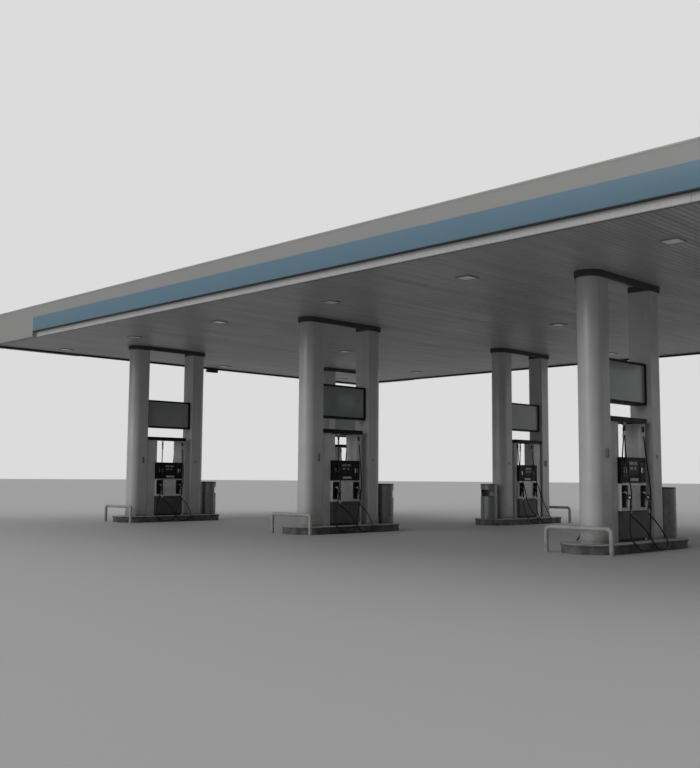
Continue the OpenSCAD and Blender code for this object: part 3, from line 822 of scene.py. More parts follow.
class CANOPY_OT_stage(bpy.types.Operator):
    """Set up the camera, the pale floor and the soft overcast light."""

    bl_idname = "canopy.stage"
    bl_label = "Camera, floor and light"

    def execute(self, context):
        scene = context.scene
        scene.view_settings.view_transform = "Standard"
        scene.view_settings.look = "None"
        # camera
        turn, pitch, roll = (math.radians(a) for a in (CAMERA_TURN, CAMERA_PITCH, CAMERA_ROLL))
        ahead = Vector((-math.sin(turn) * math.cos(pitch), math.cos(turn) * math.cos(pitch),
                        math.sin(pitch)))
        right = Vector((math.cos(turn), math.sin(turn), 0))
        up = right.cross(ahead)
        side = right * math.cos(roll) + up * math.sin(roll)
        top = up * math.cos(roll) - right * math.sin(roll)
        lens = bpy.data.cameras.new("camera")
        lens.sensor_fit = "VERTICAL"
        lens.sensor_height = CAMERA_SENSOR
        lens.sensor_width = CAMERA_SENSOR
        lens.lens = CAMERA_LENS
        lens.clip_start = 0.1
        lens.clip_end = 500.0
        camera = bpy.data.objects.new("camera", lens)
        camera.matrix_world = Matrix((
            (side.x, top.x, -ahead.x, CAMERA_AT[0]),
            (side.y, top.y, -ahead.y, CAMERA_AT[1]),
            (side.z, top.z, -ahead.z, CAMERA_AT[2]),
            (0, 0, 0, 1)))
        scene.collection.objects.link(camera)
        scene.camera = camera
        # plain pale floor, its faintly rough surface in one finish
        ground = bpy.data.meshes.new("floor")
        far = 400.0
        ground.from_pydata([(-far, -far, 0), (far, -far, 0), (far, far, 0), (-far, far, 0)], [],
                           [(0, 1, 2, 3)])
        floor = bpy.data.objects.new("floor", ground)
        tree, shader = bare_material("plain pale floor")
        shader.inputs["Base Color"].default_value = four(scene.canopy_colours.floor)
        shader.inputs["Roughness"].default_value = 0.8
        ground.materials.append(finish_of("plain pale floor"))
        scene.collection.objects.link(floor)
        # overcast sky: bright in front, darker on both sides; each patch has its direction,
        # the cosines where it starts and where it is full, and its brightness
        world = bpy.data.worlds.new("overcast sky")
        world.use_nodes = True
        tree = world.node_tree
        tree.nodes.clear()
        where = node(tree, "ShaderNodeTexCoord").outputs["Generated"]
        tone = node(tree, "ShaderNodeRGB")
        tone.outputs["Color"].default_value = linear("#dcdcdc")
        sky = tone.outputs["Color"]
        for way, low, high, bright in (
                ((0.90, -0.43, 0.0), 0.15, 0.72, 0.12),
                ((-0.60, -0.80, 0.0), 0.30, 0.85, 0.25),
                ((0.42, 0.60, 0.68), 0.80, 0.97, 1.30),
                ((0.0, -0.91, 0.41), 0.88, 0.99, 3.70)):
            toward = node(tree, "ShaderNodeVectorMath", {0: where, 1: Vector(way)},
                          operation="DOT_PRODUCT")
            part = node(tree, "ShaderNodeMapRange",
                        {"Value": toward.outputs["Value"], "From Min": low, "From Max": high,
                         "To Min": 0.0, "To Max": 1.0}, interpolation_type="SMOOTHSTEP")
            mixed = node(tree, "ShaderNodeMix",
                         {"Factor": part.outputs["Result"], "A": sky,
                          "B": (bright, bright, bright, 1.0)}, data_type="RGBA")
            sky = mixed.outputs["Result"]
        background = node(tree, "ShaderNodeBackground", {"Color": sky, "Strength": 1.0})
        node(tree, "ShaderNodeOutputWorld", {"Surface": background.outputs["Background"]})
        scene.world = world
        return {"FINISHED"}


def smooth_route(points, between):
    """Points on one smooth curve through the route's points."""
    p = [Vector(q) for q in points]
    p = [2 * p[0] - p[1]] + p + [2 * p[-1] - p[-2]]
    out = []
    for i in range(1, len(p) - 2):
        a, b, c, d = p[i - 1:i + 3]
        # centripetal spacing keeps the curve from overshooting where points lie close
        t1 = (b - a).length ** 0.5
        t2 = t1 + (c - b).length ** 0.5
        t3 = t2 + (d - c).length ** 0.5
        for k in range(between):
            t = t1 + (t2 - t1) * k / between
            ab = a * ((t1 - t) / t1) + b * (t / t1)
            bc = b * ((t2 - t) / (t2 - t1)) + c * ((t - t1) / (t2 - t1))
            cd = c * ((t3 - t) / (t3 - t2)) + d * ((t - t2) / (t3 - t2))
            abc = ab * ((t2 - t) / t2) + bc * (t / t2)
            bcd = bc * ((t3 - t) / (t3 - t1)) + cd * ((t - t1) / (t3 - t1))
            out.append(abc * ((t2 - t) / (t2 - t1)) + bcd * ((t - t1) / (t2 - t1)))
    out.append(p[-2])
    return out


def along(points, far):
    """The point and direction at a distance along a line of points."""
    left = far
    for a, b in zip(points, points[1:]):
        step = (b - a).length
        if left <= step:
            return a + (b - a) * (left / step), (b - a).normalized()
        left -= step
    return points[-1], (points[-1] - points[-2]).normalized()


def stand_on(at, way):
    """A place at a point whose z axis runs along a direction."""
    return Matrix.Translation(at) @ way.to_track_quat("Z", "Y").to_matrix().to_4x4()


class CANOPY_OT_hoses(bpy.types.Operator):
    """Hang the fuel hoses, each one curve of its real length, with its couplings."""

    bl_idname = "canopy.hoses"
    bl_label = "Fuel hoses"

    def execute(self, context):
        rubber = finish_of("nitrile rubber hose")
        metal = finish_of("nickel plated brass")
        black = finish_of("moulded ABS, black")
        between = context.scene.canopy_sizes.hose_sides
        number = 0
        for spot in ISLANDS:
            for side in (Matrix.Identity(4), MIRROR_X):
                for route in HOSE_ROUTES:
                    number += 1
                    local = smooth_route(route, between)
                    place = spot @ side
                    line = [place @ p for p in local]
                    curve = bpy.data.curves.new(f"hose_{number:02d}", "CURVE")
                    curve.dimensions = "3D"
                    curve.bevel_depth = HOSE_D / 2
                    curve.bevel_resolution = 3
                    curve.use_fill_caps = True
                    spline = curve.splines.new("POLY")
                    spline.points.add(len(line) - 1)
                    for i, p in enumerate(line):
                        spline.points[i].co = (*p, 1.0)
                    spline.use_smooth = True
                    curve.materials.append(rubber)
                    hose = bpy.data.objects.new(f"hose_{number:02d}", curve)
                    context.scene.collection.objects.link(hose)
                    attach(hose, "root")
                    if number == 1:
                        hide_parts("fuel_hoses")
                    fittings = self.fittings(local, place, number, metal, black)
        self.outlets(metal, black)
        return {"FINISHED"}

    def fittings(self, line, place, number, metal, black):
        """Ferrule, break-away coupling and bend guard of one hose, and its nozzle swivel."""
        form = Form()
        r = HOSE_D / 2
        total = sum((b - a).length for a, b in zip(line, line[1:]))
        # each profile gives how far it stands out from the hose and how far along it is
        sleeve = ((0.001, 0), (0.010, 0.004), (0.011, 0.030), (0.011, 0.105), (0.004, 0.120))
        coupling = ((0.001, 0), (0.010, 0.004), (0.012, 0.012), (0.012, 0.034), (0.008, 0.038),
                    (0.008, 0.050), (0.012, 0.054), (0.012, 0.078), (0.008, 0.086),
                    (0.001, 0.090))
        ferrule = ((0.001, 0), (0.004, 0.002), (0.004, 0.012), (0.003, 0.014), (0.004, 0.016),
                   (0.004, 0.028), (0.003, 0.030), (0.005, 0.034), (0.005, 0.045))
        nut = ((0.001, 0), (0.005, 0.002), (0.005, 0.022), (0.003, 0.024), (0.003, 0.034))
        # black sleeve under the swivel, the coupling that parts under a hard pull, then the
        # crimped ferrule and the hexagon nut at the nozzle
        for profile, sides, finish, far in ((sleeve, 18, 1, 0.0), (coupling, 18, 0, 0.124),
                                            (ferrule, 18, 1, total - 0.085),
                                            (nut, 6, 0, total - 0.038)):
            at, way = along(line, far)
            form.turned([(r + out, up) for out, up in profile], sides, finish,
                        stand_on(at, way))
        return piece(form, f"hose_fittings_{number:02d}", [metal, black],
                     places=[place], smooth=30)

    def outlets(self, metal, black):
        """Swivels under the hood."""
        form = Form()
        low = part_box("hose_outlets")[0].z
        for y in OUTLET_Y:
            place = Matrix.Translation((OUTLET_X, y, 0))
            form.turned(((0.015, low), (0.020, low + 0.003), (0.020, low + 0.030),
                         (0.017, low + 0.032), (0.017, low + 0.036), (0.026, low + 0.038),
                         (0.027, low + 0.041), (0.027, low + 0.060)), 20, 0, place)
            form.turned(((0.036, HOOD_LOW - 0.006), (0.038, HOOD_LOW - 0.003),
                         (0.038, HOOD_LOW)), 24, 1, place)
        form.both_sides()
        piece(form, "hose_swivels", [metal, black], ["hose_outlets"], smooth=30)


class CANOPY_OT_nozzles(bpy.types.Operator):
    """Hang a fuel nozzle on each pocket: sleeve, valve housing, spout, lever and guard."""

    bl_idname = "canopy.nozzles"
    bl_label = "Nozzles"

    def execute(self, context):
        body = Form()
        spout = Form()
        lever = Form()
        for at in NOZZLE_AT:
            place = nozzle_place(at)
            self.body(body, place)
            self.spout(spout, place)
            self.lever(lever, place)
        for form in (body, spout, lever):
            form.both_sides()
        rubber = finish_of("nozzle sleeve rubber")
        metal = finish_of("drawn aluminium")
        black = finish_of("moulded ABS, black")
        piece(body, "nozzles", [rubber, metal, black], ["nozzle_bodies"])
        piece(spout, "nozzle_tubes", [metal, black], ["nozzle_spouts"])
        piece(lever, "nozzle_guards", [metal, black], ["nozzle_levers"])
        return {"FINISHED"}

    def body(self, form, place):
        """Rubber sleeved grip, valve housing with its cap, and the neck of the spout."""
        grip = ((-0.017, 0.040), (0.017, 0.040), (0.020, 0.075), (0.020, 0.110), (0.014, 0.150),
                (0.012, 0.190), (0.016, 0.215), (0.022, 0.240), (0.023, 0.270), (0.022, 0.300),
                (0.014, 0.318), (0.002, 0.330), (-0.014, 0.335), (-0.030, 0.336),
                (-0.044, 0.327), (-0.052, 0.312), (-0.055, 0.288), (-0.054, 0.262),
                (-0.050, 0.246), (-0.044, 0.236), (-0.036, 0.224), (-0.026, 0.214),
                (-0.024, 0.170), (-0.024, 0.120), (-0.022, 0.080))
        for wide, back in ((0.0135, 0.0), (0.020, 0.005)):
            form.prism(inset(grip, back), -wide, wide, 0.005, 0, place @ ON_SIDE)
        # ribs of the sleeve on both flanks of the grip
        for i in range(5):
            z = 0.075 + i * 0.022
            form.block(-0.0215, 0.0215, -0.016, 0.012, z, z + 0.008, 0.003, 0, place)
        # cap of the automatic stop on the valve housing
        for way in (-1, 1):
            hub = place @ Matrix.Translation((way * 0.018, -0.016, 0.276))
            hub = hub @ rotated(90 * way, "Y")
            form.turned(((0.020, 0), (0.020, 0.004), (0.017, 0.0065), (0.006, 0.0065),
                         (0.005, 0.005)), 20, 1 if way > 0 else 2, hub)
        form.turned(((0.014, 0.0), (0.018, 0.004), (0.018, 0.036), (0.016, 0.044)), 6, 1, place)
        form.turned(((0.022, -0.004), (0.022, 0.020), (0.019, 0.024), (0.019, 0.030),
                     (0.014, NECK_L)), 22, 2, neck_place(place))

    def spout(self, form, place):
        """Bent spout: straight run, round bend and tip in the pocket, with its ring."""
        neck = neck_place(place)
        path = [(0, 0, NECK_L), (0, 0, NECK_L + 0.05), (0, 0, NECK_L + SPOUT_L)]
        steps = 8
        for i in range(1, steps + 1):
            a = math.radians(SPOUT_BEND * i / steps)
            path.append((0, -SPOUT_BEND_R + SPOUT_BEND_R * math.cos(a),
                         NECK_L + SPOUT_L + SPOUT_BEND_R * math.sin(a)))
        a = math.radians(SPOUT_BEND)
        end = Vector(path[-1])
        run = Vector((0, -math.sin(a), math.cos(a)))
        path.append(tuple(end + run * (TIP_L * 0.6)))
        path.append(tuple(end + run * TIP_L))
        form.tube(path, SPOUT_R, 16, 0, neck)
        ring = [end + run * (TIP_L * s) for s in (0.1, 0.16, 0.34, 0.4)]
        form.tube(ring, [SPOUT_R + 0.0002, SPOUT_R + 0.0018, SPOUT_R + 0.0018,
                         SPOUT_R + 0.0002], 16, 0, neck)
        # spring guard wound round the first part of the spout
        for i in range(6):
            z = NECK_L + 0.004 + i * 0.006
            form.turned(((SPOUT_R, z), (SPOUT_R + 0.0025, z + 0.002), (SPOUT_R, z + 0.004)), 16,
                        1, neck, ends=False)

    def lever(self, form, place):
        """Guard loop in front of the lever, the lever in it, and its latch."""
        loop = ((-0.022, 0.066), (-0.045, 0.074), (-0.063, 0.086), (-0.073, 0.104),
                (-0.076, 0.124), (-0.076, 0.170), (-0.074, 0.206), (-0.066, 0.226),
                (-0.054, 0.242), (-0.046, 0.250))
        section = soft_rect(-0.010, 0.010, -0.004, 0.004, 0.002, 1)
        rings = []
        for i, (y, z) in enumerate(loop):
            a = Vector((0.0, *loop[max(i - 1, 0)]))
            b = Vector((0.0, *loop[min(i + 1, len(loop) - 1)]))
            way = (b - a).normalized()
            out = Vector((0, -way.z, way.y))
            rings.append([Vector((u, y, z)) + out * v for u, v in section])
        form.loft(rings, 0, place)
        blade = ((-0.036, 0.214), (-0.040, 0.190), (-0.046, 0.150), (-0.052, 0.112),
                 (-0.048, 0.106), (-0.041, 0.112), (-0.036, 0.150), (-0.030, 0.190),
                 (-0.028, 0.212))
        form.prism(blade[::-1], -0.007, 0.007, 0.002, 0, place @ ON_SIDE)
        form.block(-0.006, 0.006, -0.062, -0.046, 0.120, 0.128, 0.002, 1, place)


class CANOPY_OT_kerbs(bpy.types.Operator):
    """Lay the island kerbs: a concrete body under a rim of precast slabs with open joints."""

    bl_idname = "canopy.kerbs"
    bl_label = "Island kerbs"

    def half_ring(self, radius, way, sides=24):
        """Corners of a half disc at one end of the kerb."""
        out = []
        for i in range(sides + 1):
            a = math.radians(180 * i / sides + (180 if way < 0 else 0))
            out.append((radius * math.cos(a), KERB_SHIFT + way * KERB_RUN / 2
                        + radius * math.sin(a)))
        return out

    def execute(self, context):
        form = Form()
        top = KERB_TOP
        low = top - SLAB_H
        r = KERB_R - 0.018
        body = self.half_ring(r, -1) + self.half_ring(r, 1)
        form.loft([[(x, y, z) for x, y in line] for line, z in (
            (inset(body, 0.004), 0.0), (body, 0.012), (body, low))], 0)
        # mortar bed that shows in the joints
        bed = self.half_ring(KERB_R - 0.012, -1) + self.half_ring(KERB_R - 0.012, 1)
        form.prism(bed, low, top - 0.006, 0.0, 1)
        gap = SLAB_GAP
        step = KERB_RUN / SLABS
        for i in range(SLABS):
            y0 = KERB_SHIFT - KERB_RUN / 2 + i * step + gap / 2
            for x0, x1 in ((-KERB_R, -gap / 2), (gap / 2, KERB_R)):
                form.block(x0, x1, y0, y0 + step - gap, low, top, 0.006, 0)
        for way in (-1, 1):
            line = self.half_ring(KERB_R, way)
            line = [(x, y + way * gap / 2) for x, y in line]
            form.prism(line, low, top, 0.006, 0)
        piece(form, "kerb_slabs", [finish_of("precast concrete"), finish_of("joint mortar")],
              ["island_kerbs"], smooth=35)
        return {"FINISHED"}


class CANOPY_OT_columns(bpy.types.Operator):
    """Clad the columns: casings with seams, skirts at the foot, caps and headers on top."""

    bl_idname = "canopy.columns"
    bl_label = "Columns"

    def execute(self, context):
        enamel = finish_of("enamelled aluminium casing")
        dark = finish_of("dark painted steel")
        for end, node_name in ((1, "outer_columns"), (-1, "inner_columns")):
            form = Form()
            turn = Matrix.Identity(4) if end > 0 else MIRROR_Y
            form.prism(column_outline(), KERB_TOP, SOFFIT, 0.0, 0, turn)
            # pop rivets down the seams
            y = -COLUMN_IN - COLUMN_FLAT + 0.028
            for i in range(RIVETS):
                z = KERB_TOP + RIVET_FIRST + i * RIVET_STEP
                for side in (-1, 1):
                    hub = turn @ Matrix.Translation((side * COLUMN_R, y, z))
                    hub = hub @ rotated(90 * side, "Y")
                    form.turned(((0.006, -0.001), (0.006, 0.0005), (0.003, 0.002)), 8, 0, hub)
            piece(form, f"column_casings_{'outer' if end > 0 else 'inner'}", [enamel],
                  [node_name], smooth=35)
        # mortar ring and skirt at the foot, with a shadow line between them
        form = Form()
        shadow = 0.003
        ring = KERB_TOP + FOOT_RING_H
        form.prism(column_outline(0.010, False), KERB_TOP, ring, 0.003, 1)
        form.prism(column_outline(0.008, False), ring + shadow, KERB_TOP + SKIRT_TOP, 0.003, 0)
        form.both_ends()
        piece(form, "column_foot_skirts",
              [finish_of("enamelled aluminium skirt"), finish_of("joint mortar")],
              ["column_skirts"], smooth=35)
        # stepped cap under the soffit
        form = Form()
        step = CAP_LOW + CAP_STEP
        form.prism(column_outline(CAP_OUT, False, 0.005), step + 0.002, SOFFIT - 0.001, 0.003, 0)
        form.prism(column_outline(0.036, False, 0.004), CAP_LOW, step, 0.002, 0)
        form.both_ends()
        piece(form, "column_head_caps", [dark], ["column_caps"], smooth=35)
        # header along the +x side, from cap to cap
        form = Form()
        out = COLUMN_R + CAP_OUT
        y0 = COLUMN_IN - 0.005
        form.block(out - 0.1, out, -y0, -0.001, HEADER_LOW, SOFFIT - 0.001, 0.003, 0)
        # butt strap over the joint in the middle of the header
        form.block(out - 0.102, out + 0.002, -0.03, -0.001, HEADER_LOW - 0.002, SOFFIT - 0.001,
                   0.001, 0)
        form.both_ends()
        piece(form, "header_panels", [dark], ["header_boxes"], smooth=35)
        return {"FINISHED"}


class CANOPY_OT_signs(bpy.types.Operator):
    """Fit the signs between the columns: case, frame with screws, and glossy face."""

    bl_idname = "canopy.signs"
    bl_label = "Signs"

    def execute(self, context):
        z = (SIGN_LOW + SIGN_TOP) / 2
        half = (SIGN_TOP - SIGN_LOW) / 2
        form = Form()
        form.block(-SIGN_HALF_X + 0.02, SIGN_HALF_X - 0.02, -SIGN_HALF_Y + 0.004,
                   SIGN_HALF_Y - 0.004, SIGN_LOW + 0.004, SIGN_TOP - 0.004, 0.004)
        face = Form()
        outer = soft_rect(-SIGN_HALF_Y, SIGN_HALF_Y, z - half, z + half, 0.010, 6)
        inner = soft_rect(-SIGN_HALF_Y + SIGN_EDGE, SIGN_HALF_Y - SIGN_EDGE,
                          z - half + SIGN_BAR, z + half - SIGN_BAR, 0.035, 6)
        face.rim(outer, inner, 0.0, SIGN_HALF_X, 0.004, 0, ON_SIDE)
        # screws along the frame
        for u in (-0.6, -0.2, 0.2, 0.6):
            for v in (z - half + 0.025, z + half - 0.025):
                hub = on_side(u, v, SIGN_HALF_X)
                face.turned(((0.006, -0.001), (0.006, 0.001), (0.004, 0.002)), 10, 1, hub)
        face.both_sides()
        form.join(face)
        piece(form, "sign_frames", [finish_of("black powder coat"),
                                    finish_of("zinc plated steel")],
              ["sign_cases"], smooth=35)
        # the face bulges by a few millimetres, which bends what it reflects
        form = Form()
        wide = SIGN_HALF_Y - SIGN_EDGE + 0.004
        tall = half - SIGN_BAR + 0.004
        n, m = 16, 10
        corners = []
        for j in range(m + 1):
            for i in range(n + 1):
                u = -1 + 2 * i / n
                v = -1 + 2 * j / m
                bulge = SIGN_BULGE * (1 - u * u) * (1 - v * v)
                corners.append((u * wide, z + v * tall, SIGN_HALF_X - 0.014 + bulge))
        faces = [(j * (n + 1) + i, j * (n + 1) + i + 1, (j + 1) * (n + 1) + i + 1,
                  (j + 1) * (n + 1) + i) for j in range(m) for i in range(n)]
        form.add(corners, faces, 0, ON_SIDE)
        form.both_sides()
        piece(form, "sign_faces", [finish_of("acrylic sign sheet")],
              ["sign_panels"], smooth=60)
        dress("sign_brackets", finish_of("zinc plated steel"))
        return {"FINISHED"}


class CANOPY_OT_dispensers(bpy.types.Operator):
    """Build the dispensers' pillars, hood, plinth and lower cabinet."""

    bl_idname = "canopy.dispensers"
    bl_label = "Dispenser cases"

    def execute(self, context):
        grey = finish_of("grey powder coat")
        black = finish_of("black powder coat")
        dark = finish_of("dark powder coat")
        metal = finish_of("drawn aluminium")
        d = DISPENSER_HALF
        form = Form()
        # both pillars step towards the middle above the display head
        far, near = OUTER_PILLAR_Y
        outer = ((far, KERB_TOP), (-d, KERB_TOP), (-d, HEAD_TOP), (near, HEAD_TOP),
                 (near, HOOD_LOW), (far, HOOD_LOW))
        far, near = INNER_PILLAR_Y
        inner = ((d, KERB_TOP), (far, KERB_TOP), (far, HOOD_LOW), (near, HOOD_LOW),
                 (near, HEAD_TOP), (d, HEAD_TOP))
        for stepped in (outer, inner):
            form.prism(stepped, -PILLAR_X, PILLAR_X, 0.004, 0, ON_SIDE)
        # cover strips down the pillars and their screws
        side = Form()
        for y0, y1 in ((-0.775, -0.53), (d + 0.02, HOOD_END - 0.03)):
            side.plate(y0, y1, KERB_TOP + 0.05, HOOD_LOW - 0.02, 0.006, 2, PILLAR_X,
                       PILLAR_X + 0.003, 0.001, 0)
            for z in (KERB_TOP + 0.09, 1.2, HOOD_LOW - 0.06):
                hub = on_side(y0 + 0.02, z, PILLAR_X + 0.003)
                side.turned(((0.006, 0), (0.006, 0.0015), (0.003, 0.0025)), 10, 1, hub)
        side.both_sides()
        form.join(side)
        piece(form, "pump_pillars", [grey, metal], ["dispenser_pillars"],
              smooth=35)
        # hood: two shells with a shadow line between them
        form = Form()
        r = 0.05
        steps = 8
        line = [(HOOD_X, -COLUMN_IN + 0.002)]
        for cx, start in ((HOOD_X - r, 0), (-HOOD_X + r, 90)):
            for i in range(steps + 1):
                a = math.radians(start + 90 * i / steps)
                line.append((cx + r * math.cos(a), HOOD_END - r + r * math.sin(a)))
        line.append((-HOOD_X, -COLUMN_IN + 0.002))
        z0 = HOOD_LOW
        z1 = HOOD_TOP
        levels = ((0.022, z0 + 0.012), (0.020, z0 + 0.001), (0.006, z0), (0.0, z0 + 0.006),
                  (0.0, z0 + 0.046), (0.003, z0 + 0.048), (0.003, z0 + 0.052), (0.0, z0 + 0.054),
                  (0.0, z1 - 0.006), (0.006, z1))
        form.loft([[(x, y, z) for x, y in inset(line, by)] for by, z in levels], 0)
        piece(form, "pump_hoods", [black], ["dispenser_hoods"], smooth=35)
        dress("recess_plinths", finish_of("black bitumen paint"))
        # lower cabinet: a frame with two doors on each side, their locks and hinges
        form = Form()
        form.block(-CASE_X + 0.008, CASE_X - 0.008, -d, d, CABINET_LOW, CABINET_TOP, 0.003, 0)
        side = Form()
        low, high = CABINET_LOW, CABINET_TOP
        outer = soft_rect(-d, d, low, high, 0.003, 4)
        inner = soft_rect(-d + 0.035, d - 0.035, low + 0.030, high - 0.030, 0.020, 4)
        side.rim(outer, inner, CASE_X - 0.010, CASE_X, 0.002, 0, ON_SIDE)
        for y0, y1 in ((-d + 0.045, -0.003), (0.003, d - 0.045)):
            door = soft_rect(y0, y1, low + 0.040, high - 0.040, 0.010, 3)
            side.prism(door, CASE_X - 0.012, CASE_X - 0.001, 0.002, 0, ON_SIDE)
        for y in (-0.045, 0.045):
            hub = on_side(y, high - 0.12, CASE_X - 0.001)
            side.turned(((0.012, -0.001), (0.012, 0.002), (0.010, 0.003), (0.004, 0.003),
                         (0.003, 0.001)), 16, 1, hub)
        for y in (-d + 0.040, d - 0.040):
            for z in (low + 0.10, high - 0.10):
                hub = Matrix.Translation((CASE_X - 0.003, y, z - 0.03))
                side.turned(((0.005, 0), (0.005, 0.06)), 8, 0, hub)
        # vents low in the doors
        for y in (-0.27, 0.27):
            for i in range(7):
                z = low + 0.085 + i * 0.016
                side.block(CASE_X - 0.002, CASE_X + 0.002, y - 0.075, y + 0.075, z, z + 0.006,
                           0.0018, 0)
        side.both_sides()
        form.join(side)
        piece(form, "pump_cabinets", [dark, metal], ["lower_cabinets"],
              smooth=35)
        return {"FINISHED"}


class CANOPY_OT_pockets(bpy.types.Operator):
    """Make the nozzle panel with its pockets, and the moulded liners of the pockets."""

    bl_idname = "canopy.pockets"
    bl_label = "Nozzle pockets"

    def execute(self, context):
        d = DISPENSER_HALF
        low = CABINET_TOP
        high = HEAD_LOW
        x = PANEL_X
        form = Form()
        hole_low = BOOT_LOW
        hole_high = BOOT_LOW + BOOT_H
        # core behind the pockets and the end walls
        form.block(-x + BOOT_DEEP, x - BOOT_DEEP, -d, d, low, high, 0.0, 0)
        side = Form()
        cheek = d - BOOT_Y
        side.block(x - BOOT_DEEP, x, -BOOT_Y + cheek, BOOT_Y - cheek, low + 0.001, high - 0.001,
                   0.0015, 0)
        for y in (-BOOT_Y, BOOT_Y):
            outer = soft_rect(y - cheek + 0.0005, y + cheek - 0.0005, low + 0.001, high - 0.001,
                              0.0015, 6)
            inner = soft_rect(y - BOOT_W / 2, y + BOOT_W / 2, hole_low, hole_high, 0.028, 6)
            side.rim(outer, inner, x - BOOT_DEEP, x, 0.001, 0, ON_SIDE)
        # edge strip under the display head and the lock in the middle of the panel
        side.plate(-d + 0.004, d - 0.004, high - 0.022, high - 0.004, 0.003, 2, x, x + 0.004,
                   0.001, 1)
        hub = on_side(0.0, high - 0.060, x)
        side.turned(((0.014, -0.001), (0.014, 0.003), (0.011, 0.004), (0.004, 0.004),
                     (0.003, 0.002)), 18, 2, hub)
        # small bare plates under the pockets
        for y in (-BOOT_Y, BOOT_Y):
            side.plate(y - 0.03, y + 0.03, low + 0.014, low + 0.044, 0.004, 2, x, x + 0.002,
                       0.0006, 3)
        side.both_sides()
        form.join(side)
        piece(form, "nozzle_panels",
              [finish_of("grey powder coat"), finish_of("drawn aluminium"),
               finish_of("black powder coat"), finish_of("bare pale plate")],
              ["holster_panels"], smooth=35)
        form = Form()
        for y in (-BOOT_Y, BOOT_Y):
            outer = soft_rect(y - BOOT_W / 2 + 0.0005, y + BOOT_W / 2 - 0.0005,
                              hole_low + 0.0005, hole_high - 0.0005, 0.028, 6)
            inner = inset(outer, 0.008)
            deep = inset(outer, 0.014)
            lines = ((outer, x - 0.004), (outer, x + 0.003), (inset(outer, 0.001), x + 0.004),
                     (inset(outer, 0.007), x + 0.004), (inner, x + 0.002), (deep, x - 0.094),
                     (inset(outer, 0.020), x - 0.101))
            form.loft([[(u, v, z) for u, v in line] for line, z in lines], 0, ON_SIDE,
                      ends=False)
            back = inset(outer, 0.020)
            form.prism(back, x - 0.105, x - 0.101, 0.0, 0, ON_SIDE)
            # ribs on the back wall and a ledge that the nozzle's nose rests on
            for i in range(8):
                z = hole_low + 0.06 + i * 0.048
                form.block(x - 0.103, x - 0.096, y - 0.085, y + 0.085, z, z + 0.006, 0.0015, 0)
            form.block(x - 0.10, x - 0.02, y - 0.095, y + 0.095, hole_low + 0.012,
                       hole_low + 0.024, 0.003, 0)
        # rest that holds each spout's tip
        for at in NOZZLE_AT:
            neck = neck_place(nozzle_place(at))
            bend = neck @ Matrix.Translation((0, -SPOUT_BEND_R, NECK_L + SPOUT_L))
            bend = bend @ rotated(SPOUT_BEND, "X")
            bend = bend @ Matrix.Translation((0, SPOUT_BEND_R, 0))
            r = SPOUT_R
            form.turned(((r + 0.001, TIP_L - 0.002), (r + 0.006, TIP_L), (r + 0.007, TIP_L + 0.004),
                         (r + 0.007, TIP_L + REST_L)), 18, 0, bend)
        form.both_sides()
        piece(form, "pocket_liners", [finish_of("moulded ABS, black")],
              ["nozzle_boots"], smooth=40)
        return {"FINISHED"}


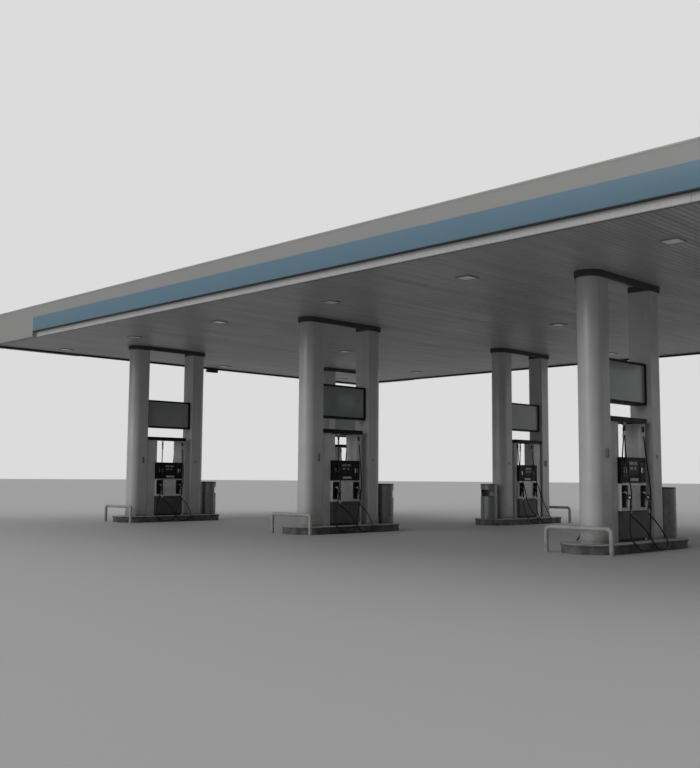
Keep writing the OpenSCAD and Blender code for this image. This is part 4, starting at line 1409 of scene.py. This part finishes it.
class CANOPY_OT_heads(bpy.types.Operator):
    """Build the display heads with their windows, keys, reader and bare plates."""

    bl_idname = "canopy.heads"
    bl_label = "Display heads"

    def execute(self, context):
        d = DISPENSER_HALF
        x = HEAD_X
        low = HEAD_LOW
        high = HEAD_TOP
        form = Form()
        line = soft_rect(-d, d, low, high, 0.018, 5)
        form.prism(line, -x, x, 0.006, 0, ON_SIDE)
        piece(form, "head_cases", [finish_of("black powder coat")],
              ["display_heads"], smooth=35)
        form = Form()
        glass, window, plate, key, metal = range(5)
        # main window with two reading windows and a row of price windows
        frames = ((-0.190, 0.180, 1.530, 1.815), (-0.437, -0.216, 1.465, 1.790),
                  (0.290, 0.450, 1.465, 1.790))
        for y0, y1, z0, z1 in frames:
            outer = soft_rect(y0, y1, z0, z1, 0.014, 5)
            inner = inset(outer, 0.010)
            form.rim(outer, inner, x - 0.001, x + 0.006, 0.0015, key, ON_SIDE)
            form.prism(inset(outer, 0.009), x - 0.001, x + 0.003, 0.0005, glass, ON_SIDE)
        for y0, y1, z0, z1 in ((-0.165, -0.012, 1.722, 1.782), (0.012, 0.150, 1.722, 1.782),
                               (-0.150, -0.020, 1.632, 1.680), (0.030, 0.110, 1.632, 1.680)):
            form.plate(y0, y1, z0, z1, 0.003, 2, x + 0.002, x + 0.0045, 0.0005, window)
        # keys under the main window: two rows of five
        for i in range(5):
            for j in range(2):
                y = -0.110 + i * 0.052
                z = 1.556 + j * 0.030
                form.plate(y - 0.016, y + 0.016, z - 0.009, z + 0.009, 0.004, 2, x + 0.002,
                           x + 0.006, 0.001, key)
        # bare pale plate at the foot of the head
        form.plate(-0.125, 0.190, 1.400, 1.455, 0.004, 2, x, x + 0.003, 0.0008, plate)
        # left: two grade windows; right: card reader with its slot and a small window
        form.plate(-0.402, -0.362, 1.560, 1.675, 0.004, 2, x + 0.002, x + 0.005, 0.0008, window)
        form.plate(-0.300, -0.250, 1.560, 1.675, 0.004, 2, x + 0.002, x + 0.005, 0.0008, window)
        form.plate(0.308, 0.358, 1.560, 1.672, 0.004, 2, x + 0.002, x + 0.008, 0.001, metal)
        form.block(x + 0.007, x + 0.0085, 0.316, 0.350, 1.612, 1.617, 0.0006, key)
        form.plate(0.390, 0.432, 1.560, 1.672, 0.004, 2, x + 0.002, x + 0.005, 0.0008, window)
        for i in range(3):
            hub = on_side(0.333, 1.520 - i * 0.020, x + 0.003)
            form.turned(((0.006, 0), (0.006, 0.003), (0.004, 0.004)), 12, metal, hub)
        # thin pale edge under the head
        form.plate(-d + 0.02, d - 0.02, low + 0.004, low + 0.014, 0.002, 1, x, x + 0.002, 0.0006,
                   metal)
        form.both_sides()
        piece(form, "head_windows",
              [finish_of("display glass"), finish_of("liquid crystal window"),
               finish_of("bare pale plate"), finish_of("moulded ABS, black"),
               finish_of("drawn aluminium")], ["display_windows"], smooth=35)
        return {"FINISHED"}


class CANOPY_OT_rails(bpy.types.Operator):
    """Bend the hoop rails in front of the islands, with mitred elbows and weld beads."""

    bl_idname = "canopy.rails"
    bl_label = "Hoop rails"

    def execute(self, context):
        form = Form()
        top = RAIL_H - RAIL_R
        cut = 0.3 * RAIL_BEND
        path = [(-RAIL_HALF, RAIL_Y, 0.0), (-RAIL_HALF, RAIL_Y, top - RAIL_BEND),
                (-RAIL_HALF + cut, RAIL_Y, top - cut), (-RAIL_HALF + RAIL_BEND, RAIL_Y, top),
                (RAIL_HALF - RAIL_BEND, RAIL_Y, top), (RAIL_HALF - cut, RAIL_Y, top - cut),
                (RAIL_HALF, RAIL_Y, top - RAIL_BEND), (RAIL_HALF, RAIL_Y, 0.0)]
        form.tube(path, RAIL_R, 28, 0)
        # weld beads at the mitres
        for i in (1, 2, 3, 4, 5, 6):
            p = Vector(path[i])
            way = (Vector(path[i + 1]) - Vector(path[i - 1])).normalized()
            hub = stand_on(p, way)
            form.turned(((RAIL_R + 0.001, -0.005), (RAIL_R + 0.004, -0.002),
                         (RAIL_R + 0.004, 0.002), (RAIL_R + 0.001, 0.005)), 28, 0, hub,
                        ends=False)
        for x in (-RAIL_HALF, RAIL_HALF):
            hub = Matrix.Translation((x, RAIL_Y, 0))
            form.turned(((RAIL_R + 0.030, 0.0), (RAIL_R + 0.028, 0.004), (RAIL_R + 0.004, 0.007),
                         (RAIL_R, 0.010)), 28, 1, hub)
        piece(form, "hoop_rails", [finish_of("painted steel tube"), finish_of("joint mortar")],
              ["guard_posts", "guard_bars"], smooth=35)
        return {"FINISHED"}


class CANOPY_OT_bins(bpy.types.Operator):
    """Stand the litter bins at the inner ends of the islands."""

    bl_idname = "canopy.bins"
    bl_label = "Litter bins"

    def execute(self, context):
        steel = finish_of("painted bin steel")
        place = Matrix.Translation((0, BIN_Y, KERB_TOP))
        form = Form()
        r = BIN_R
        form.turned(((r - 0.010, 0.0), (r - 0.004, 0.004), (r - 0.004, 0.030), (r, 0.034),
                     (r, MOUTH_Z - 0.012), (r + 0.003, MOUTH_Z - 0.010),
                     (r + 0.003, MOUTH_Z - 0.002), (r, MOUTH_Z)), 64, 0, place)
        # seam of the door
        form.block(-0.003, 0.003, -r - 0.0015, -r + 0.01, 0.06, MOUTH_Z - 0.04, 0.001, 0, place)
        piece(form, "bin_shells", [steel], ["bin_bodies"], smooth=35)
        # hood of the bin: a wall that leaves out the mouth, and a full ring above it
        form = Form()
        z0 = MOUTH_Z
        z1 = MOUTH_Z + MOUTH_H
        half = math.degrees(math.acos(MOUTH_Y / r))
        steps = 54
        arc = [math.radians(90 + half + (360 - 2 * half) * i / steps) for i in range(steps + 1)]
        rings = []
        for rad, z in ((r - 0.006, z0), (r, z0), (r, z1), (r - 0.006, z1), (r - 0.006, z0)):
            rings.append([(rad * math.cos(a), rad * math.sin(a), z) for a in arc])
        form.loft(rings, 0, place, ends=False, loop=False)
        for side in (0, -1):
            a = arc[side]
            form.block(-0.004, 0.004, -0.008, 0.004, z0, z1, 0.0015, 0,
                       place @ Matrix.Rotation(a - math.radians(90), 4, "Z")
                       @ Matrix.Translation((0, r - 0.001, 0)))
        form.turned(((r - 0.006, z1), (r + 0.003, z1 + 0.002), (r + 0.003, z1 + 0.010),
                     (r, z1 + 0.012), (r, BIN_H)), 64, 0, place)
        # dark liner inside, with a raised ring
        form.turned(((r - 0.05, z0), (r - 0.02, z0 + 0.004), (r - 0.03, z0 + 0.012),
                     (r - 0.06, z0 + 0.004)), 48, 1, place)
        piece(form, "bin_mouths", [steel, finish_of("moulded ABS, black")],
              ["bin_hoods"], smooth=35)
        form = Form()
        form.turned(((r + 0.002, BIN_H - 0.004), (r + 0.006, BIN_H), (r + 0.006, BIN_H + 0.018),
                     (r + 0.001, BIN_H + 0.026), (r - 0.030, BIN_H + 0.033),
                     (r - 0.110, BIN_H + 0.034), (0.03, BIN_H + 0.034)), 64, 0, place)
        # shallow tray for cigarette ends
        form.turned(((0.090, BIN_H + 0.030), (0.090, BIN_H + 0.0345), (0.084, BIN_H + 0.0345),
                     (0.080, BIN_H + 0.031)), 32, 1, place, ends=False)
        piece(form, "bin_tops", [finish_of("painted bin lid"), finish_of("zinc plated steel")],
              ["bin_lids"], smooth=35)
        return {"FINISHED"}


class CANOPY_OT_devices(bpy.types.Operator):
    """Fix the call boxes and switches to the columns, and the box under the roof's edge."""

    bl_idname = "canopy.devices"
    bl_label = "Call boxes and switches"

    def execute(self, context):
        black = finish_of("moulded ABS, black")
        form = Form()
        x = COLUMN_R
        # call box on the outer column
        y0, y1 = -1.040, -0.966
        z0, z1 = 1.84, 2.04
        form.plate(y0, y1, z0, z1, 0.010, 4, x, x + 0.026, 0.004, 0)
        # speaker slots and push button
        for i in range(6):
            z = z0 + 0.115 + i * 0.010
            form.block(x + 0.0255, x + 0.0275, y0 + 0.016, y1 - 0.016, z, z + 0.004, 0.0008, 1)
        hub = on_side((y0 + y1) / 2, z0 + 0.055, x + 0.026)
        form.turned(((0.017, -0.001), (0.017, 0.001), (0.013, 0.002), (0.012, 0.0015)), 20, 1, hub)
        # switch on the inner column
        y0, y1 = 0.986, 1.020
        form.plate(y0, y1, 1.872, 1.944, 0.005, 3, x, x + 0.012, 0.002, 0)
        form.plate(y0 + 0.008, y1 - 0.008, 1.888, 1.928, 0.003, 2, x + 0.011, x + 0.016, 0.0015, 1)
        form.both_sides()
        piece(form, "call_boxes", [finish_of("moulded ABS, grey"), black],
              ["device_boxes"], smooth=35)
        # box under the roof's edge: cover, flange and vents
        form = Form()
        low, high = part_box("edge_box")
        form.block(low.x, high.x, low.y, high.y, low.z, high.z - 0.012, 0.008, 0)
        form.block(low.x + 0.02, high.x - 0.02, low.y + 0.04, high.y - 0.04, high.z - 0.012,
                   high.z, 0.001, 1)
        for i in range(8):
            y = low.y + 0.06 + i * 0.055
            form.block(low.x - 0.001, low.x + 0.002, y, y + 0.03, low.z + 0.03, high.z - 0.04,
                       0.0005, 1)
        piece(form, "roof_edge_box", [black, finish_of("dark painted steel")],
              ["edge_box"], places=ALONE, smooth=35)
        return {"FINISHED"}


class CANOPY_OT_soffit(bpy.types.Operator):
    """Lay the slats of the soffit round the lamps, and build the recessed lamps."""

    bl_idname = "canopy.soffit"
    bl_label = "Soffit and lamps"

    def execute(self, context):
        sizes = context.scene.canopy_sizes
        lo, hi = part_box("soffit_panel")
        lamps = [(x, LAMP_ROWS[0]) for x in LAMP_X] + [(x, LAMP_ROWS[2]) for x in LAMP_X]
        lamps += [(x, LAMP_ROWS[1]) for x in LAMP_MID_X]
        h = LAMP_S / 2
        form = Form()
        count = int((hi.x - lo.x) // sizes.slat_pitch)
        start = (lo.x + hi.x - count * sizes.slat_pitch) / 2
        for i in range(count):
            x0 = start + i * sizes.slat_pitch + sizes.slat_gap / 2
            x1 = x0 + sizes.slat_pitch - sizes.slat_gap
            cuts = sorted((y - h, y + h, x - h, x + h) for x, y in lamps
                          if x - h < x1 and x + h > x0)
            y = lo.y
            for c0, c1, l0, l1 in cuts:
                self.slat(form, x0, x1, y, c0, sizes)
                if x0 < l0:
                    self.slat(form, x0, l0, c0, c1, sizes)
                if x1 > l1:
                    self.slat(form, l1, x1, c0, c1, sizes)
                y = c1
            self.slat(form, x0, x1, y, hi.y, sizes)
        # felt behind the grooves, left out over the lamps
        z = lo.z + sizes.slat_depth
        rows = sorted({y for _, y in lamps})
        y = lo.y
        for row in rows:
            self.felt(form, lo.x, hi.x, y, row - h, z)
            x = lo.x
            for lamp in sorted(q for q, r in lamps if r == row):
                self.felt(form, x, lamp - h, row - h, row + h, z)
                x = lamp + h
            self.felt(form, x, hi.x, row - h, row + h, z)
            y = row + h
        self.felt(form, lo.x, hi.x, y, hi.y, z)
        piece(form, "soffit_slats", [finish_of("enamelled soffit slats"),
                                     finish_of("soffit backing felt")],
              ["soffit_panel"], places=ALONE, smooth=30)
        places = [Matrix.Translation((x, y, SOFFIT)) for x, y in lamps]
        form = Form()
        outer = soft_rect(-h, h, -h, h, 0.004, 4)
        inner = soft_rect(-h + LAMP_FRAME, h - LAMP_FRAME, -h + LAMP_FRAME, h - LAMP_FRAME,
                          0.010, 4)
        low = -LAMP_DROP
        lines = ((outer, 0.03), (outer, low + 0.002), (inset(outer, 0.002), low),
                 (inset(inner, -0.002), low), (inner, low + 0.002), (inner, 0.040))
        form.loft([[(x, y, z) for x, y in line] for line, z in lines], 0, ends=False)
        form.prism(outer, 0.040, 0.066, 0.0, 0)
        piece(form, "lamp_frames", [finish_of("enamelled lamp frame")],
              ["lamp_bodies"], places=places, smooth=35)
        form = Form()
        w = h - LAMP_FRAME
        form.prism(soft_rect(-w, w, -w, w, 0.009, 4), low + 0.005, low + 0.015, 0.002, 0)
        piece(form, "lamp_diffusers", [finish_of("prismatic acrylic diffuser")],
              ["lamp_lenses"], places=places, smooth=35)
        return {"FINISHED"}

    def slat(self, form, x0, x1, y0, y1, sizes):
        """One slat with rolled edges, its face down."""
        if x1 - x0 < 0.004 or y1 - y0 < 0.004:
            return
        z = SOFFIT
        deep = sizes.slat_depth
        roll = min(0.006, (x1 - x0) / 3)
        lines = []
        for y in (y0, y1):
            lines.append([(x0, y, z + deep), (x0, y, z + roll), (x0 + roll, y, z),
                          (x1 - roll, y, z), (x1, y, z + roll), (x1, y, z + deep)])
        form.loft(lines, 0, ends=False, loop=False)

    def felt(self, form, x0, x1, y0, y1, z):
        """A flat sheet of the backing."""
        if x1 - x0 > 0.001 and y1 - y0 > 0.001:
            form.add([(x0, y0, z), (x1, y0, z), (x1, y1, z), (x0, y1, z)], [(0, 3, 2, 1)], 1)


class CANOPY_OT_fascia(bpy.types.Operator):
    """Hang the fascia: upper panels, blue band, pale strip, corner panels and coping."""

    bl_idname = "canopy.fascia"
    bl_label = "Fascia"

    def execute(self, context):
        gap = context.scene.canopy_sizes.panel_joint
        grey = finish_of("coil coated steel, grey")
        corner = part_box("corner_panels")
        reach_x = corner[1].x
        reach_y = corner[1].y
        length = HALF_X - CORNER_L
        depth = HALF_Y - CORNER_L
        upper = Form()
        strip = Form()
        band = Form()
        # the band and the fascia above it run through in one plane; the strip has fine joints
        sides = ((length, HALF_Y, 0, (-STRIP_JOINT_X, STRIP_JOINT_X)), (depth, HALF_X, 90, ()))
        for half, y, turn, joints in sides:
            for way in (0, 180):
                place = rotated(turn + way, "Z")
                ends = [-half] + list(joints) + [half]
                for a, b in zip(ends, ends[1:]):
                    strip.block(a + gap / 2, b - gap / 2, -y, -y + 0.055, LIP, BAND_LOW + 0.01,
                                0.004, 0, place)
                upper.block(-half, half, -y - BAND_OUT, -y + 0.002, BAND_TOP, FASCIA_TOP, 0.002, 0,
                            place)
                upper.block(-half, half, -y + 0.010, -y + 0.058, LIP + 0.002, FASCIA_TOP - 0.002,
                            0.0, 1, place)
                self.band(band, -half, half, y, place)
        piece(upper, "fascia_panels", [grey, finish_of("folded aluminium coping")],
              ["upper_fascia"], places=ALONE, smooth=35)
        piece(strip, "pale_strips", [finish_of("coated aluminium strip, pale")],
              ["lower_strips"], places=ALONE, smooth=35)
        piece(band, "colour_bands", [finish_of("coil coated steel, blue"),
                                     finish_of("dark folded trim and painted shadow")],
              ["blue_bands"], places=ALONE, smooth=35)
        form = Form()
        # corner panels: an angle on each corner, folded at its ends
        for sx in (-1, 1):
            for sy in (-1, 1):
                place = Matrix.Diagonal((sx, sy, 1, 1))
                out = 0.004
                x_in = length + gap / 2
                y_in = depth + gap / 2
                line = [(x_in, HALF_Y), (HALF_X, HALF_Y), (HALF_X, y_in), (reach_x, y_in),
                        (reach_x, reach_y - out), (reach_x - out, reach_y), (x_in, reach_y)]
                form.loft([[(x, y, z) for x, y in line] for z in
                           (LIP, LIP + 0.004, FASCIA_TOP)], 0, place)
                # hidden upstand that keeps the back of the angle closed to the roof
                form.block(x_in, HALF_X - 0.002, HALF_Y - 0.055, HALF_Y - 0.002, LIP, FASCIA_TOP,
                           0.0, 0, place)
                form.block(HALF_X - 0.055, HALF_X - 0.002, y_in, HALF_Y - 0.055, LIP, FASCIA_TOP,
                           0.0, 0, place)
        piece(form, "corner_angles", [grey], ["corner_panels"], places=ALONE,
              smooth=35)
        self.coping()
        dress("edge_trims", finish_of("dark folded trim and painted shadow"))
        return {"FINISHED"}

    def band(self, form, x0, x1, y, place):
        """One length of the band: a tray with folded edges, and a dark strip below it that paints
        the band's shadow.
        """
        out = -y - BAND_OUT
        line = [(out + 0.004, BAND_LOW), (-y, BAND_LOW), (-y, BAND_TOP),
                (out + 0.002, BAND_TOP), (out, BAND_TOP - 0.002),
                (out, BAND_LOW + 0.006)]
        rings = [[(x, a, b) for a, b in line] for x in (x0, x1)]
        form.loft(rings, 0, place)
        # dark strip under the band's underside: painted shadow of the band's overhang
        form.block(x0, x1, out + 0.012, -y + 0.001, BAND_LOW - 0.012, BAND_LOW - 0.0005, 0.0, 1,
                   place)

    def coping(self):
        """Folded coping with a drip edge on both sides and butt straps over the joints."""
        form = Form()
        top = ROOF_TOP
        low = FASCIA_TOP
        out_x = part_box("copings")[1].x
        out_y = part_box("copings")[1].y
        wide = 0.192
        strap_pitch = 3.0
        for half, y, turn in ((out_x, out_y, 0), (out_y, out_x, 90)):
            for way in (0, 180):
                place = rotated(turn + way, "Z")
                line = [(-y, low - 0.004), (-y + 0.004, low - 0.004), (-y + 0.006, top - 0.006),
                        (-y + wide - 0.004, top - 0.010), (-y + wide - 0.002, low),
                        (-y + wide, low), (-y + wide, top - 0.007),
                        (-y + wide - 0.004, top - 0.003), (-y + 0.003, top),
                        (-y, top - 0.003)]
                rings = []
                for x, cut in ((-half, 1), (half, -1)):
                    rings.append([(x + cut * (a + y), a, b) for a, b in line])
                form.loft(rings, 0, place)
                parts = max(2, round(2 * half / strap_pitch))
                for i in range(1, parts):
                    x = -half + 2 * half * i / parts
                    form.block(x - 0.04, x + 0.04, -y - 0.001, -y + wide + 0.001, top - 0.008,
                               top, 0.002, 0, place)
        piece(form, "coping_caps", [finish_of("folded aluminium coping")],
              ["copings"], places=ALONE, smooth=35)


class CANOPY_OT_roof(bpy.types.Operator):
    """Cover the roof with ribbed sheets, a gutter round them, and paint the girders."""

    bl_idname = "canopy.roof"
    bl_label = "Roof sheets"

    def execute(self, context):
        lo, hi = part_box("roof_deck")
        pitch = context.scene.canopy_sizes.deck_pitch
        lift = 0.012
        rib = DECK_TOP - DECK_LOW - lift
        form = Form()
        z = DECK_LOW + lift
        gutter = 0.30
        count = int((hi.x - lo.x - 2 * gutter) // pitch)
        x = (lo.x + hi.x - count * pitch) / 2
        line = [(x, z)]
        for i in range(count):
            x0 = x + i * pitch
            line += [(x0 + 0.31 * pitch, z), (x0 + 0.42 * pitch, z + rib),
                     (x0 + 0.58 * pitch, z + rib), (x0 + 0.69 * pitch, z), (x0 + pitch, z)]
        ends = (lo.y + gutter, 0.0, hi.y - gutter)
        rings = [[(a, y, b - 0.002 * abs(y) / hi.y) for a, b in line] for y in ends]
        form.loft(rings, 0, ends=False, loop=False)
        # lap seams at every fourth rib
        for i in range(0, count, 4):
            x0 = x + i * pitch + 0.655 * pitch
            form.block(x0, x0 + 0.012, ends[0], ends[2], z - 0.001, z + 0.004, 0.0, 0)
        # gutter trays along the four sides
        y_in = (lo.y + gutter, hi.y - gutter)
        for x0, x1, y0, y1 in ((lo.x, hi.x, lo.y, y_in[0]), (lo.x, hi.x, y_in[1], hi.y),
                               (lo.x, lo.x + gutter, *y_in), (hi.x - gutter, hi.x, *y_in)):
            form.block(x0, x1, y0, y1, DECK_LOW, DECK_LOW + 0.010, 0.002, 1)
        # outlets in the front and back gutters, in line with the islands
        for gx in ISLAND_X:
            for gy in (lo.y + gutter / 2, hi.y - gutter / 2):
                hub = Matrix.Translation((gx, gy, DECK_LOW + 0.010))
                form.turned(((0.09, 0), (0.09, 0.004), (0.07, 0.008), (0.06, 0.03),
                             (0.02, 0.035)), 20, 2, hub)
        piece(form, "roof_sheets", [finish_of("galvanised roof sheet"),
                                    finish_of("folded aluminium coping"),
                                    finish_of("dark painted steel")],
              ["roof_deck"], places=ALONE, smooth=20)
        for name in ("cross_girders", "long_girders"):
            dress(name, finish_of("painted girder steel"))
        return {"FINISHED"}


# The steps in their order: the finishes, camera and hoses come first
STEPS = (
    CANOPY_OT_finishes, CANOPY_OT_stage, CANOPY_OT_hoses, CANOPY_OT_nozzles, CANOPY_OT_kerbs,
    CANOPY_OT_columns, CANOPY_OT_signs, CANOPY_OT_dispensers, CANOPY_OT_pockets,
    CANOPY_OT_heads, CANOPY_OT_rails, CANOPY_OT_bins, CANOPY_OT_devices, CANOPY_OT_soffit,
    CANOPY_OT_fascia, CANOPY_OT_roof,
)


class CANOPY_PT_panel(bpy.types.Panel):
    """Lists the canopy's steps, sizes and colours in the sidebar."""

    bl_idname = "CANOPY_PT_panel"
    bl_label = "Canopy"
    bl_space_type = "VIEW_3D"
    bl_region_type = "UI"
    bl_category = "Canopy"

    def draw(self, context):
        for group in (context.scene.canopy_sizes, context.scene.canopy_colours):
            for name in group.bl_rna.properties.keys():
                if name not in ("rna_type", "name"):
                    self.layout.prop(group, name)
        for step in STEPS:
            self.layout.operator(step.bl_idname, text=step.bl_label)


CLASSES = (CanopySizes, CanopyColours, *STEPS, CANOPY_PT_panel)


def register():
    for c in CLASSES:
        bpy.utils.register_class(c)
    bpy.types.Scene.canopy_sizes = PointerProperty(type=CanopySizes)
    bpy.types.Scene.canopy_colours = PointerProperty(type=CanopyColours)


def unregister():
    del bpy.types.Scene.canopy_sizes
    del bpy.types.Scene.canopy_colours
    for c in reversed(CLASSES):
        bpy.utils.unregister_class(c)


def main():
    register()
    for step in STEPS:
        group, name = step.bl_idname.split(".")
        getattr(getattr(bpy.ops, group), name)()


if __name__ == "__main__":
    main()
